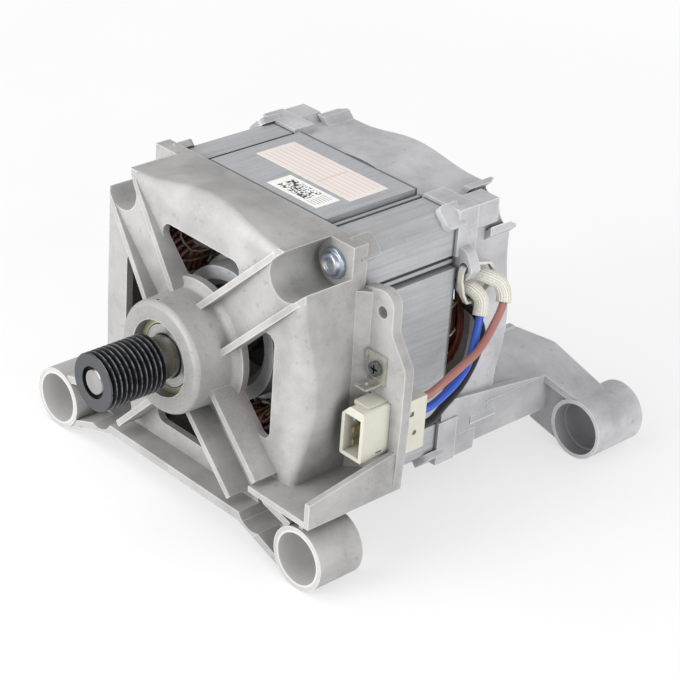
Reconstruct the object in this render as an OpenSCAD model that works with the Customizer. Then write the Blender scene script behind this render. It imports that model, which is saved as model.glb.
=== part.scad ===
// Four-pole induction motor for a washing machine, with a ribbed belt pulley.
// Millimetres. The shaft lies along Y with the pulley at -Y, and Z is up.
// The origin is on the shaft axis, in the middle plane of the belt.

/* [Stator stack] */
// Length of the lamination stack
stack_length = 48.5; // [40:0.5:70]
// Width across the raised faces of the stack
stack_size = 114; // [110:1:122]
// Width of each raised face
plateau_width = 66; // [50:1:70]
// Depth of the corner pads below the raised faces
pad_drop = 2; // [1:0.5:3]
// Size of the corner chamfer
corner_chamfer = 5; // [3:0.5:7]
// Number of winding slots
slot_count = 24; // [12:6:24]
// Radius of the slot bottoms
slot_outer_r = 46; // [43:0.5:48]
// Width of a tooth
tooth_width = 4.2; // [3.5:0.1:5]
// Gap between rotor and stator bore
air_gap = 0.35; // [0.25:0.05:0.5]
// Thickness of the slot insulation
liner_wall = 0.4; // [0.3:0.05:0.5]
// Length of slot insulation that sticks out of the stack
liner_overhang = 1.5; // [1:0.5:2]

/* [Windings] */
// Outer radius of the end windings
winding_outer_r = 47.5; // [45:0.5:49]
// How far the front end winding stands out
front_winding_height = 18; // [14:0.5:20]
// How far the rear end winding stands out
rear_winding_height = 17; // [12:0.5:17]
// Diameter of one wound bundle
bundle_d = 2.2; // [1.6:0.1:2.2]
// Wound turns that show at the front
front_turns = 12; // [8:1:12]
// Wound turns that show at the rear
rear_turns = 10; // [6:1:10]

/* [Rotor] */
// Outer radius of the rotor
rotor_r = 31; // [29:0.5:32]
// Number of cage bars
bar_count = 22; // [16:1:24]
// Diameter of a cage bar
bar_d = 4; // [3:0.25:5]
// Outer radius of the end rings
end_ring_r = 27.5; // [26:0.5:28.5]
// Inner radius of the end rings
end_ring_bore_r = 19; // [17:0.5:21]
// Length of the front end ring
end_ring_front = 16; // [10:0.5:18]
// Length of the rear end ring
end_ring_rear = 9; // [7:0.5:11]

/* [Shaft and pulley] */
// Shaft diameter in the rotor core
shaft_d = 20; // [18:0.5:22]
// Shaft diameter inside the pulley
pulley_seat_d = 10.5; // [9:0.5:12]
// Outer diameter of the pulley
pulley_d = 23; // [20:0.5:26]
// Number of belt grooves
groove_count = 11; // [6:1:11]
// Distance from groove to groove
groove_pitch = 2.34; // [2:0.02:2.5]
// Depth of a groove
groove_depth = 1.6; // [1.2:0.1:1.8]
// Diameter of the recess in the pulley face
pulley_recess_d = 12.8; // [12:0.2:15]
// Gap between pulley and front hub
pulley_gap = 4.8; // [3:0.2:8]

/* [Bearings] */
// Bore of the front bearing
front_bore_d = 17; // [15:0.5:17]
// Outer diameter of the front bearing
front_outer_d = 40; // [36:0.5:41]
// Width of the front bearing
front_width = 12; // [11:0.5:13]
// Bore of the rear bearing
rear_bore_d = 15; // [12:0.5:15]
// Outer diameter of the rear bearing
rear_outer_d = 35; // [32:0.5:36]
// Width of the rear bearing
rear_width = 11; // [10:0.5:12]
// Number of balls in each bearing
ball_count = 8; // [6:1:8]

/* [Front shield] */
// Wall thickness of both cast shields
wall = 3; // [2.5:0.25:4]
// Depth of the front shield from the stack to its face
front_depth = 31; // [29:0.5:36]
// How far the sides swell out between the arms
swell = 4.5; // [1:0.25:5]
// Outer diameter of the front hub
hub_d = 45.6; // [45:0.2:52]
// Distance from the stack to the front of the hub
hub_front = 49.8; // [48:0.2:60]
// Opening in front of the bearing
hub_opening_d = 30.8; // [28:0.2:34]
// Width of each arm
arm_width = 22; // [20:0.5:25]
// Thickness of the ribs along the arms
rib_wall = 2.6; // [2:0.1:3.5]
// Height of the arm ribs beside the hub
rib_height = 7; // [4:0.5:9]
// Distance from the shaft to the outer edge of a window
window_outer = 43.5; // [40:0.5:46]
// Radius of the ring around the hub, inside the windows
window_inner_r = 26.5; // [25.5:0.5:30]
// Radius of the window corners
window_round = 4; // [2:0.5:5]

/* [Rear shield] */
// Depth of the rear shield box
rear_depth = 33.5; // [30:0.5:40]
// Distance from the stack to the rear web
rear_web = 22; // [20:0.5:26]
// Outer diameter of the rear hub
rear_hub_d = 43; // [42:0.5:48]
// Gap between the stack and the rear shield between the corners
rear_gap = 1.6; // [1:0.2:3]
// Height of the crown on each side of the rear shield
crown = 3.7; // [1:0.1:5]

/* [Feet] */
// Distance between the foot tubes across the motor
foot_span = 147.4; // [140:0.2:160]
// Height of the foot tubes below the shaft
foot_drop = 54.3; // [50:0.1:60]
// Outer diameter of a foot tube
foot_d = 26; // [25:0.5:30]
// Bore of a foot tube
foot_bore_d = 21; // [18:0.5:21.5]
// Distance from the stack to the front face of the front tubes
front_foot_face = 41.8; // [38:0.2:46]
// Length of the front tubes
front_foot_length = 21.4; // [18:0.2:26]
// Distance from the stack front to the front face of the rear tubes
rear_foot_face = 113.2; // [108:0.2:122]
// Length of the rear tubes
rear_foot_length = 27.8; // [24:0.2:32]
// Diameter of the wide mouth of the rear tubes
rear_mouth_d = 22.4; // [21.8:0.1:23.5]
// Depth of the wide mouth of the rear tubes
rear_mouth_depth = 6; // [3:0.5:10]

/* [Fasteners] */
// Distance of the through bolts from the shaft, across and up
bolt_offset = 47.5; // [46.5:0.1:48]
// Diameter of the through bolts
bolt_d = 5; // [4:0.5:6]
// Diameter of the bolt flange
bolt_flange_d = 12; // [11:0.5:15.5]
// Diameter of the pocket around a bolt head
pocket_d = 17.6; // [16:0.2:18.4]
// Distance from the stack to the seat of a bolt head
bolt_seat = 7; // [6:0.5:12]

/* [Connector] */
// Width of the connector
connector_w = 11.6; // [10:0.2:14]
// Height of the connector
connector_h = 21.4; // [18:0.2:24]
// Length of the connector in front of its plate
connector_front = 13.5; // [10:0.5:18]
// Length of the connector behind its plate
connector_rear = 9; // [7:0.5:12]
// Distance of the connector's outer side from the shaft
connector_side = 75; // [72:0.5:77]
// Height of the connector's top above the shaft
connector_top = -2; // [-6:0.5:0]
// Thickness of the connector plate
plate_t = 4.5; // [3:0.5:6]
// Distance from the shaft to the outer edge of the plate
plate_side = 81; // [78:0.5:84]
// Height of the plate's top above the shaft
plate_top = 43; // [38:0.5:46]
// Height of the tray floor below the shaft
tray_drop = 36; // [34:0.5:38]

/* [Wires] */
// Diameter of a lead wire
wire_d = 3.2; // [2.4:0.1:3.4]
// Diameter of the fibre sleeves
sleeve_d = 6; // [5:0.2:6.2]

/* [Hidden] */
$fn = 48;

cast_front = "#c9c9cb";
cast_rear = "#b4b5b9";
steel = "#b9bbbf";

// Small overlap that joins solids of one casting, and a cut's reach past a face
join = 0.05;
over = 1;

// Places along the shaft, counted from the front face of the stack
pulley_length = groove_count * groove_pitch + 0.3;
pulley_back = -hub_front - pulley_gap;
pulley_front = pulley_back - pulley_length;
pulley_mid = (pulley_back + pulley_front) / 2;
half = stack_size / 2;
pad_half = half - pad_drop;

// Bearings: the outer ring's end faces, counted from the front face of the stack
front_lip = 3.8;
front_bearing_y = -hub_front + front_lip;
rear_bearing_start = rear_web - 5;
rear_bearing_y = stack_length + rear_bearing_start;
washer_t = 0.4;
washer_room = 1.6;
rear_lip_y = rear_bearing_start + rear_width + washer_room;
rear_lip = 2.4;

// Stator
bore_r = rotor_r + air_gap;
slot_inner_r = bore_r + 1.6;
slot_mouth = 2.6;

// Turns the local Z axis to point forwards, with X across and Y up
module facing_front() { translate([0, -pulley_mid, 0]) rotate([90, 0, 0]) children(); }

// The same frame facing rearwards, with Z counted from the front face of the stack
module along_shaft() {
    translate([0, -pulley_mid, 0]) mirror([0, 1, 0]) rotate([90, 0, 0]) children();
}

// The rearward frame, with Z counted from the rear face of the stack
module facing_rear() { along_shaft() translate([0, 0, stack_length]) children(); }

// Places in the motor's own axes, with Y counted from the front face of the stack
module from_stack() { translate([0, -pulley_mid, 0]) children(); }

module four_sides() { for (a = [0:90:270]) rotate([0, 0, a]) children(); }
module both_sides() {
    children();
    mirror([1, 0, 0]) children();
}

function unit(v) = v / norm(v);

// One corner of an outline, rounded by an arc of radius r in n steps
function corner_arc(a, b, c, r, n) =
    let (u = unit(a - b), v = unit(c - b))
    let (turn = acos(u * v), reach = r / tan(turn / 2))
    let (m = b + unit(u + v) * r / sin(turn / 2))
    let (s = b + u * reach - m, e = b + v * reach - m)
    [for (i = [0:n]) let (w = s * (n - i) + e * i) m + unit(w) * r];

// An outline with every corner rounded by its own radius; a radius of 0 keeps it sharp
function rounded(points, radii, n = 6) =
    let (count = len(points))
    [for (i = [0:count - 1])
        let (r = radii[i], b = points[i])
        let (a = points[(i + count - 1) % count], c = points[(i + 1) % count])
        each (r > 0 ? corner_arc(a, b, c, r, n) : [b])];

function radii(r, n) = [for (i = [1:n]) r];

// A plate that stands on edge: an outline in X and Z, extruded along Y
module edge_plate(points, y, t) {
    translate([0, y + t, 0]) rotate([90, 0, 0]) linear_extrude(t) polygon(points);
}

// Lamination outline: raised faces, two weld grooves beside each, pads and chamfers
groove_w = 1.4;
groove_cut = 2.2;
ridge_w = 1.6;

function half_side() =
    let (p = plateau_width / 2, g = groove_w, r = ridge_w, low = pad_half - groove_cut)
    [[p, half], [p + 0.3, low], [p + g, low], [p + g, pad_half],
     [p + g + r, pad_half], [p + g + r, low + 0.6], [p + 2 * g + r, low + 0.6],
     [p + 2 * g + r, pad_half], [pad_half - corner_chamfer, pad_half]];
function full_side() =
    let (h = half_side(), n = len(h))
    [each [for (i = [n - 1:-1:0]) [-h[i][0], h[i][1]]], each h];
function turned(p, a) = [p[0] * cos(a) + p[1] * sin(a), p[1] * cos(a) - p[0] * sin(a)];

module stack_outline() {
    polygon([for (a = [0:90:270]) for (p = full_side()) turned(p, a)]);
}

// A slot from its mouth to its round bottom, drawn in by an inset
function slot_half_width(r, inset) = r * tan(180 / slot_count) - tooth_width / 2 - inset;
function slot_shape(inset) =
    let (r1 = slot_inner_r + inset, w1 = slot_half_width(slot_inner_r, inset))
    let (w2 = slot_half_width(slot_outer_r - 5, inset), r2 = slot_outer_r - w2 - inset)
    [[r1, -w1], [r2, -w2], each [for (a = [-75:15:75]) [r2 + w2 * cos(a), w2 * sin(a)]],
     [r2, w2], [r1, w1]];

module slots(inset) {
    for (i = [0:slot_count - 1])
        rotate(i * 360 / slot_count) polygon(slot_shape(inset));
}

module stator_core() color("#9fa1a5") along_shaft() difference() {
    linear_extrude(stack_length) difference() {
        stack_outline();
        circle(bore_r, $fn = 96);
        slots(0);
        for (i = [0:slot_count - 1])
            rotate(i * 360 / slot_count)
                translate([bore_r - over, -slot_mouth / 2])
                    square([slot_inner_r - bore_r + over + 0.5, slot_mouth]);
    }
    four_sides() translate([bolt_offset, bolt_offset, -over])
        cylinder(r = bolt_d / 2 + 0.4, h = stack_length + 2 * over);
}

module slot_liners() color("#e8e2cc") along_shaft()
    translate([0, 0, -liner_overhang])
        linear_extrude(stack_length + 2 * liner_overhang) difference() {
            slots(0);
            slots(liner_wall);
        }

// End windings
winding_inner_r = bore_r + 2.2;
winding_start = liner_overhang + 0.5;
core_shrink = bundle_d + 0.7;

// Cross-section of an end winding, as radius and height above the stack
function winding_section(height, inset) =
    let (a = winding_inner_r + inset, b = winding_outer_r - inset, h = height - inset)
    rounded([[a, winding_start], [b, winding_start], [b - 0.5, h], [a + 1, h]],
            [0, 0, 6.2 - inset, 5.2 - inset], 8);

module winding_ring(height) {
    rotate_extrude($fn = 96) polygon(winding_section(height, core_shrink));
}

module main_winding() color("#6e2f1c") along_shaft() {
    translate([0, 0, -winding_start - join])
        linear_extrude(stack_length + 2 * (winding_start + join))
            slots(liner_wall + 0.05);
    mirror([0, 0, 1]) winding_ring(front_winding_height);
    translate([0, 0, stack_length]) winding_ring(rear_winding_height);
}

// Length along an open outline, and the point at a given length
function path_steps(p) = [for (i = [0:len(p) - 2]) norm(p[i + 1] - p[i])];
function sum_to(v, n) = n <= 0 ? 0 : v[n - 1] + sum_to(v, n - 1);
function path_length(p) = sum_to(path_steps(p), len(p) - 1);
function at_length(p, s, i = 0) =
    let (d = norm(p[i + 1] - p[i]))
    (s <= d || i == len(p) - 2) ? p[i] + (p[i + 1] - p[i]) * min(1, s / d)
                                : at_length(p, s - d, i + 1);

// Path of the outer layer of turns: round the shaft, creeping over the winding's section
turn_rings = 24;
function turn_path(height) =
    let (s = winding_section(height, bundle_d / 2))
    [s[0] + [0, 1.4], each [for (i = [len(s) - 1:-1:2]) s[i]], s[1] + [0, 1.4]];
function turn_points(height, turns) =
    let (p = turn_path(height), total = path_length(p), count = turns * turn_rings)
    [for (i = [0:count])
        let (q = at_length(p, total * i / count), a = 360 * i / turn_rings)
        [q[0] * cos(a), q[0] * sin(a), q[1]]];

// A tube swept along points, closed at both ends
function tube_frame(p, i) =
    let (n = len(p))
    let (t = unit(p[min(i + 1, n - 1)] - p[max(i - 1, 0)]))
    let (side = unit(cross(t, [0.013, 0.021, 1])))
    [side, cross(side, t)];
module tube(points, r, sides) {
    skin([for (i = [0:len(points) - 1]) let (f = tube_frame(points, i))
        [for (k = [0:sides - 1])
            let (a = 360 * k / sides)
            points[i] + r * (f[0] * cos(a) + f[1] * sin(a))]]);
}

// A closed skin over a row of rings with the same number of points
module skin(rings) {
    n = len(rings);
    sides = len(rings[0]);
    ends = [[for (k = [sides - 1:-1:0]) k],
            [for (k = [0:sides - 1]) (n - 1) * sides + k]];
    faces = [for (i = [0:n - 2]) for (k = [0:sides - 1])
        let (a = i * sides + k, b = i * sides + (k + 1) % sides)
        each [[a, b, a + sides], [b, b + sides, a + sides]]];
    polyhedron([for (ring = rings) each ring], [each faces, each ends], convexity = 10);
}

// Least gap from one turn to the next, measured between points a full turn apart
function turn_gap(p) =
    min([for (i = [0:len(p) - turn_rings - 1]) norm(p[i + turn_rings] - p[i])]) - bundle_d;

module turns(height, count) {
    points = turn_points(height, count);
    echo(least_gap_between_turns = turn_gap(points));
    tube(points, bundle_d / 2, 6);
}

module front_winding_turns() color("#8a3b22") along_shaft()
    mirror([0, 0, 1]) turns(front_winding_height, front_turns);

module rear_winding_turns() color("#8a3b22") facing_rear()
    turns(rear_winding_height, rear_turns);

// Ball bearings, each standing on Z = 0
ball_gap = 0.08;
function ball_d(bore_d, outer_d) = (outer_d - bore_d) * 0.29;
function pitch_r(bore_d, outer_d) = (bore_d + outer_d) / 4;
function race_gap(bore_d, outer_d) = ball_d(bore_d, outer_d) * 0.26;

module raceway(bore_d, outer_d, width) {
    translate([0, 0, width / 2]) rotate_extrude($fn = 96)
        translate([pitch_r(bore_d, outer_d), 0])
            circle(ball_d(bore_d, outer_d) / 2 + ball_gap, $fn = 40);
}

module outer_ring(bore_d, outer_d, width) {
    inner = pitch_r(bore_d, outer_d) + race_gap(bore_d, outer_d);
    difference() {
        rotate_extrude($fn = 96) polygon(rounded(
            [[inner, 0], [outer_d / 2, 0], [outer_d / 2, width], [inner, width]],
            [0, 0.8, 0.8, 0], 4));
        raceway(bore_d, outer_d, width);
        for (z = [0.5, width - 0.5])
            translate([0, 0, z]) shield_disc(bore_d, outer_d, 0.5, 0, over);
    }
}

module inner_ring(bore_d, outer_d, width) {
    outer = pitch_r(bore_d, outer_d) - race_gap(bore_d, outer_d);
    difference() {
        rotate_extrude($fn = 96) polygon(rounded(
            [[bore_d / 2, 0], [outer, 0], [outer, width], [bore_d / 2, width]],
            [0.6, 0, 0, 0.6], 4));
        raceway(bore_d, outer_d, width);
    }
}

// A closing disc between the rings, held in a step of the outer ring
module shield_disc(bore_d, outer_d, t, gap, step) {
    outer = pitch_r(bore_d, outer_d) + race_gap(bore_d, outer_d) + 0.9;
    inner = pitch_r(bore_d, outer_d) - race_gap(bore_d, outer_d) + 0.35;
    translate([0, 0, -t / 2]) difference() {
        cylinder(r = outer, h = t, $fn = 96);
        translate([0, 0, -over]) cylinder(r = step > 0.5 ? 1 : inner, h = t + 2 * over);
    }
}

module bearing_shields(bore_d, outer_d, width) {
    for (z = [0.5, width - 0.5])
        translate([0, 0, z]) shield_disc(bore_d, outer_d, 0.5, 0, 0);
}

module balls(bore_d, outer_d, width) {
    for (i = [0:ball_count - 1])
        rotate([0, 0, i * 360 / ball_count])
            translate([pitch_r(bore_d, outer_d), 0, width / 2])
                sphere(d = ball_d(bore_d, outer_d), $fn = 32);
}

module ball_cage(bore_d, outer_d, width) {
    d = ball_d(bore_d, outer_d);
    r = pitch_r(bore_d, outer_d);
    difference() {
        translate([0, 0, width / 2 - d * 0.45]) difference() {
            cylinder(r = r + 0.7, h = d * 0.9, $fn = 96);
            translate([0, 0, -over]) cylinder(r = r - 0.7, h = d + 2 * over, $fn = 96);
        }
        for (i = [0:ball_count - 1])
            rotate([0, 0, i * 360 / ball_count])
                translate([r, 0, width / 2]) sphere(d = d + 0.2, $fn = 32);
    }
}

module at_front_bearing() { along_shaft() translate([0, 0, front_bearing_y]) children(); }
module at_rear_bearing() { along_shaft() translate([0, 0, rear_bearing_y]) children(); }

module front_bearing_outer_ring() color(steel) at_front_bearing()
    outer_ring(front_bore_d, front_outer_d, front_width);
module front_bearing_inner_ring() color(steel) at_front_bearing()
    inner_ring(front_bore_d, front_outer_d, front_width);
module front_bearing_shields() color("#d3d1a5") at_front_bearing()
    bearing_shields(front_bore_d, front_outer_d, front_width);
module front_bearing_balls() color("#d8dadd") at_front_bearing()
    balls(front_bore_d, front_outer_d, front_width);
module front_ball_cage() color("#a9a38e") at_front_bearing()
    ball_cage(front_bore_d, front_outer_d, front_width);
module rear_bearing_outer_ring() color(steel) at_rear_bearing()
    outer_ring(rear_bore_d, rear_outer_d, rear_width);
module rear_bearing_inner_ring() color(steel) at_rear_bearing()
    inner_ring(rear_bore_d, rear_outer_d, rear_width);
module rear_bearing_shields() color("#d3d1a5") at_rear_bearing()
    bearing_shields(rear_bore_d, rear_outer_d, rear_width);
module rear_bearing_balls() color("#d8dadd") at_rear_bearing()
    balls(rear_bore_d, rear_outer_d, rear_width);
module rear_ball_cage() color("#a9a38e") at_rear_bearing()
    ball_cage(rear_bore_d, rear_outer_d, rear_width);

// Preload washer with three waves, between the rear bearing and the hub's lip
washer_steps = 48;
module wave_washer() color("#8d9095") at_rear_bearing() {
    inner = pitch_r(rear_bore_d, rear_outer_d) + 2.6;
    outer = rear_outer_d / 2 - 0.4;
    swing = (washer_room - washer_t) / 2 - 0.03;
    mid = rear_width + washer_room / 2;
    points = [for (i = [0:washer_steps - 1])
        let (a = i * 360 / washer_steps, z = mid + swing * sin(3 * a))
        each [for (q = [[inner, -1], [outer, -1], [outer, 1], [inner, 1]])
            [q[0] * cos(a), q[0] * sin(a), z + q[1] * washer_t / 2]]];
    faces = [for (i = [0:washer_steps - 1]) for (k = [0:3])
        let (a = 4 * i + k, b = 4 * i + (k + 1) % 4)
        let (c = (a + 4) % len(points), d = (b + 4) % len(points))
        each [[a, b, c], [b, d, c]]];
    polyhedron(points, faces, convexity = 4);
}

// Shaft: pulley seat, front journal, rotor seat, rear journal and magnet stub
front_shoulder = front_bearing_y + front_width;
rear_shoulder = rear_bearing_y;
stub_d = 10;
stub_end = rear_bearing_y + rear_width + 13;
pulley_floor = pulley_front + 1.6;
shaft_end = pulley_front + 0.5;

module shaft() color("#c7c9cc") along_shaft() rotate_extrude($fn = 96) polygon([
    [0, shaft_end], [pulley_seat_d / 2 - 0.5, shaft_end],
    [pulley_seat_d / 2, shaft_end + 0.5], [pulley_seat_d / 2, pulley_back],
    [front_bore_d / 2, pulley_back], [front_bore_d / 2, front_shoulder],
    [shaft_d / 2 + 0.8, front_shoulder], [shaft_d / 2 + 0.8, -end_ring_front + 2],
    [shaft_d / 2, -end_ring_front + 3], [shaft_d / 2, rear_shoulder],
    [rear_bore_d / 2, rear_shoulder], [rear_bore_d / 2, rear_bearing_y + rear_width],
    [stub_d / 2, rear_bearing_y + rear_width + 1], [stub_d / 2, stub_end - 0.8],
    [stub_d / 2 - 0.8, stub_end], [0, stub_end]]);

bar_ring_r = rotor_r - bar_d / 2 - 1;

module bars(d) {
    for (i = [0:bar_count - 1])
        rotate(i * 360 / bar_count) translate([bar_ring_r, 0]) circle(d = d, $fn = 24);
}

module rotor_core() color("#8f9195") along_shaft()
    linear_extrude(stack_length) difference() {
        circle(rotor_r, $fn = 96);
        circle(shaft_d / 2, $fn = 96);
        bars(bar_d);
    }

// End ring: a flange over the bars and a plain collar beyond it
module end_ring(length) {
    flange = 5;
    rotate_extrude($fn = 96) polygon([
        [end_ring_bore_r, 0], [rotor_r - 0.6, 0], [rotor_r - 1.2, flange],
        [end_ring_r, flange + 0.6], [end_ring_r - 0.3, length],
        [end_ring_bore_r + 3, length], [end_ring_bore_r, length - 3]]);
}

module rotor_cage() color("#b2b4b7") along_shaft() {
    linear_extrude(stack_length) bars(bar_d);
    mirror([0, 0, 1]) end_ring(end_ring_front);
    translate([0, 0, stack_length]) end_ring(end_ring_rear);
}

// Pulley with a row of V grooves
function groove_points(i) =
    let (y = pulley_front + 0.15 + i * groove_pitch, r = pulley_d / 2, w = groove_pitch)
    [[r, y + w * 0.1], [r - groove_depth, y + w * 0.42],
     [r - groove_depth, y + w * 0.58], [r, y + w * 0.9]];

module pulley() color("#4a4c50") along_shaft() rotate_extrude($fn = 96) polygon([
    [pulley_seat_d / 2, pulley_floor], [pulley_recess_d / 2, pulley_floor],
    [pulley_recess_d / 2, pulley_front], [pulley_d / 2 - 0.4, pulley_front],
    each [for (i = [0:groove_count - 1]) each groove_points(i)],
    [pulley_d / 2 - 0.4, pulley_back], [pulley_seat_d / 2, pulley_back]]);

// Outer form of the front shield: a square bell whose four sides swell between the
// arms and roll softly over into the front face
shell_half = half;
edge_round = 3;
swell_reach = 40;
roll_out = 14;
roll_back = 7;
face_reach = window_outer + 0.5;

module bell_section() {
    a = shell_half;
    translate([0, a + over, 0]) rotate([90, 0, 0])
        linear_extrude(2 * (a + over)) polygon(rounded(
            [[-a, 0], [a, 0], [a, front_depth], [-a, front_depth]],
            [0, 0, edge_round, edge_round], 6));
}

module bell_corners() {
    difference() {
        intersection() {
            bell_section();
            rotate([0, 0, 90]) bell_section();
        }
        four_sides() translate([-swell_reach, face_reach, -over])
            cube([2 * swell_reach, 30, front_depth + 2 * over]);
    }
}

// Section of a side at the distance x from its middle: points as distance from the
// shaft and height above the stack
function side_section(x) =
    let (w = cos(90 * x / (swell_reach + 1)), c = w * w, h = shell_half + swell * c)
    let (out = edge_round + (roll_out - edge_round) * c)
    let (back = edge_round + (roll_back - edge_round) * c, low = front_depth - wall)
    [[shell_half - wall - 0.5, 0], [shell_half - wall - 0.5, low - 0.5],
     [face_reach - 1, low - 0.5], [face_reach - 1, front_depth],
     each [for (t = [0:15:90]) [h - out * (1 - sin(t)), front_depth - back * (1 - cos(t))]],
     each [for (i = [1:5]) let (q = 1 - i / 5)
        [shell_half + (h - shell_half) * q * q * (3 - 2 * q), (front_depth - back) * q]]];

module swelling_side() {
    steps = 16;
    reach = swell_reach + 0.5;
    skin([for (i = [0:steps]) let (x = reach * (2 * i / steps - 1))
        [for (q = side_section(x)) [x, q[0], q[1]]]]);
}

module bell() {
    bell_corners();
    four_sides() swelling_side();
}

module bell_room() {
    a = shell_half - wall;
    translate([-a, -a, -over]) cube([2 * a, 2 * a, front_depth - wall + over]);
}

// A window between two arms
function window_shape() =
    let (w = window_outer, n = window_inner_r, a = arm_width / 2 * sqrt(2))
    let (mid = sqrt(n * n - arm_width * arm_width / 4))
    let (c = (mid - arm_width / 2) / sqrt(2), e = (mid + arm_width / 2) / sqrt(2))
    let (turn = atan2(c, e))
    concat(
        rounded([[-c, e], [-(w - a), w], [w - a, w], [c, e]],
                [0, window_round, window_round, 0], 6),
        [for (i = [1:9]) let (t = turn - 2 * turn * i / 10) n * [sin(t), cos(t)]]);

// Side profile of an arm rib, as distance from the shaft and height
upper_tip = (shell_half - 1) * sqrt(2) - arm_width / 2;
lower_rib_top = front_foot_face;
rib_foot = front_depth - wall;
function upper_rib() = rounded([[hub_d / 2 - 4, rib_foot],
    [upper_tip, rib_foot], [upper_tip, front_depth],
    [hub_d / 2 - 4, front_depth + rib_height]], [0, 0, 2.4, 0], 5);
function lower_rib() = [[hub_d / 2 - 4, rib_foot], [58, rib_foot],
    [58, lower_rib_top], [hub_d / 2 - 4, lower_rib_top]];

module rib(profile, side) {
    translate([0, side > 0 ? arm_width / 2 : rib_wall - arm_width / 2, 0])
        rotate([90, 0, 0]) linear_extrude(rib_wall) polygon(profile);
}

module arm(profile) {
    for (side = [-1, 1]) rib(profile, side);
}

// Pocket for a bolt head, open towards the corner
module pocket_form(d, z0, z1, reach) {
    translate([bolt_offset * sqrt(2), 0, z0]) {
        cylinder(d = d, h = z1 - z0);
        translate([0, -d / 2, 0]) cube([reach, d, z1 - z0]);
    }
}

module in_bell_square(reach) {
    intersection() {
        children();
        translate([-shell_half, -shell_half, -reach]) cube([2 * shell_half, 2 * shell_half, 200]);
    }
}

// Front hub, with a rounded nose and a flare where it meets the web
module front_hub() {
    r = hub_d / 2;
    rotate_extrude($fn = 96) polygon(concat(
        [[0, front_depth - wall], [window_inner_r + 0.6, front_depth - wall],
         [window_inner_r + 0.6, front_depth]],
        [for (i = [0:5]) let (a = i * 15) [r + 3.4 - 3 * sin(a), front_depth + 3.4 - 3 * cos(a)]],
        rounded([[r, hub_front - 6], [r, hub_front], [r - 6, hub_front]], [0, 2.4, 0], 6),
        [[0, hub_front]]));
}

// Foot tubes and the walls that carry them
foot_x = foot_span / 2;
strap_t = 4;
strap_low = half - 1.5;

module strap_wall(points, z0, z1) {
    translate([0, 0, z0]) linear_extrude(z1 - z0) polygon(points);
}

// Offsets of the tangent points where the foot walls meet a tube
foot_low = [foot_x - foot_d / 2 * cos(50), -foot_drop - foot_d / 2 * sin(50)];
foot_high = [foot_x - foot_d / 2 * cos(65), -foot_drop + foot_d / 2 * sin(65)];
strap_bend = [39, -strap_low];

module front_foot() {
    inner = front_foot_face - front_foot_length;
    translate([foot_x, -foot_drop, inner]) cylinder(d = foot_d, h = front_foot_length);
    // Strap along the bottom, then down to the tube
    strap_wall([[-join, -strap_low], strap_bend, foot_low, foot_low + [2.4, 2.4],
                strap_bend + [1, strap_t], [-join, strap_t - strap_low]],
               front_depth - wall, front_foot_face - 0.6);
    // Web of the foot, and its upper wall
    strap_wall([strap_bend, foot_low, [foot_x, -foot_drop], foot_high, [47, -tray_drop - 1],
                [36, -44]], inner + 3, inner + 6);
    strap_wall([[46, -tray_drop - 3], foot_high + [-1, -2], foot_high + [0, 1],
                [48, -tray_drop]], inner + 3, front_foot_face - 0.6);
}

// Tray under the connector, and the plate that carries it
tray_t = 2.4;
tray_side = plate_side - 1.5;
tray_start = 46;
plate_step = 20;
plate_narrow = 8.5;

module connector_tray() {
    translate([tray_start, -tray_drop - tray_t, 0])
        cube([tray_side - tray_start, tray_t, front_foot_face + 1]);
    translate([tray_side - tray_t, 0, 0]) mirror([0, 0, 1]) rotate([0, 90, 0])
        linear_extrude(tray_t) polygon([
            [-plate_t, -tray_drop - tray_t], [front_foot_face + 1, -tray_drop - tray_t],
            [front_foot_face + 1, -tray_drop + 8], [0, -tray_drop + 15],
            [-plate_t, -tray_drop + 15]]);
    // Rib that ties the tray to the tube below it
    translate([foot_x - 1, -foot_drop, front_foot_face - front_foot_length])
        cube([2, foot_drop - tray_drop, front_foot_length - 1]);
}

plate_gap = 0.3;
module connector_plate() {
    inner = shell_half + plate_gap;
    low = -tray_drop - tray_t;
    // Fillet that joins the plate to the side of the bell
    translate([0, low, 0]) mirror([0, 1, 0]) rotate([90, 0, 0])
        linear_extrude(plate_top - 4 - low) polygon([
            [inner, -1], [inner + 4, -1], [inner + 4, 0], [shell_half, 4.4],
            [shell_half - 1, 4.4], [shell_half - 1, 0], [inner, 0]]);
    s = plate_side;
    translate([0, 0, -plate_t]) linear_extrude(plate_t) polygon(rounded(
        [[inner, -tray_drop - tray_t], [tray_side, -tray_drop - tray_t], [s, -12],
         [s, plate_step - 6], [s - plate_narrow, plate_step + 6],
         [s - plate_narrow, plate_top], [inner, plate_top - 3]],
        [0, 0, 4, 6, 6, 6, 0], 6));
}

// Claws that hold the stack's corners
claw_reach = 7;
claw_w = 10;
claw_t = 2.8;
claw_gap = 0.05;
module corner_claw() {
    c = (pad_half - corner_chamfer / 2) * sqrt(2) + claw_gap;
    rotate([0, 0, -45]) translate([0, c + claw_t, 0]) rotate([90, 0, 0])
        linear_extrude(claw_t) polygon(rounded(
            [[-claw_w / 2, -claw_reach], [claw_w / 2, -claw_reach], [claw_w / 2, 3],
             [-claw_w / 2, 3]], [2.4, 2.4, 0, 0], 4));
}

earth_x = 67;
earth_z = 10;
hole_z = 33;
screw_d = 4;
vent_angle = 12;

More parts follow.
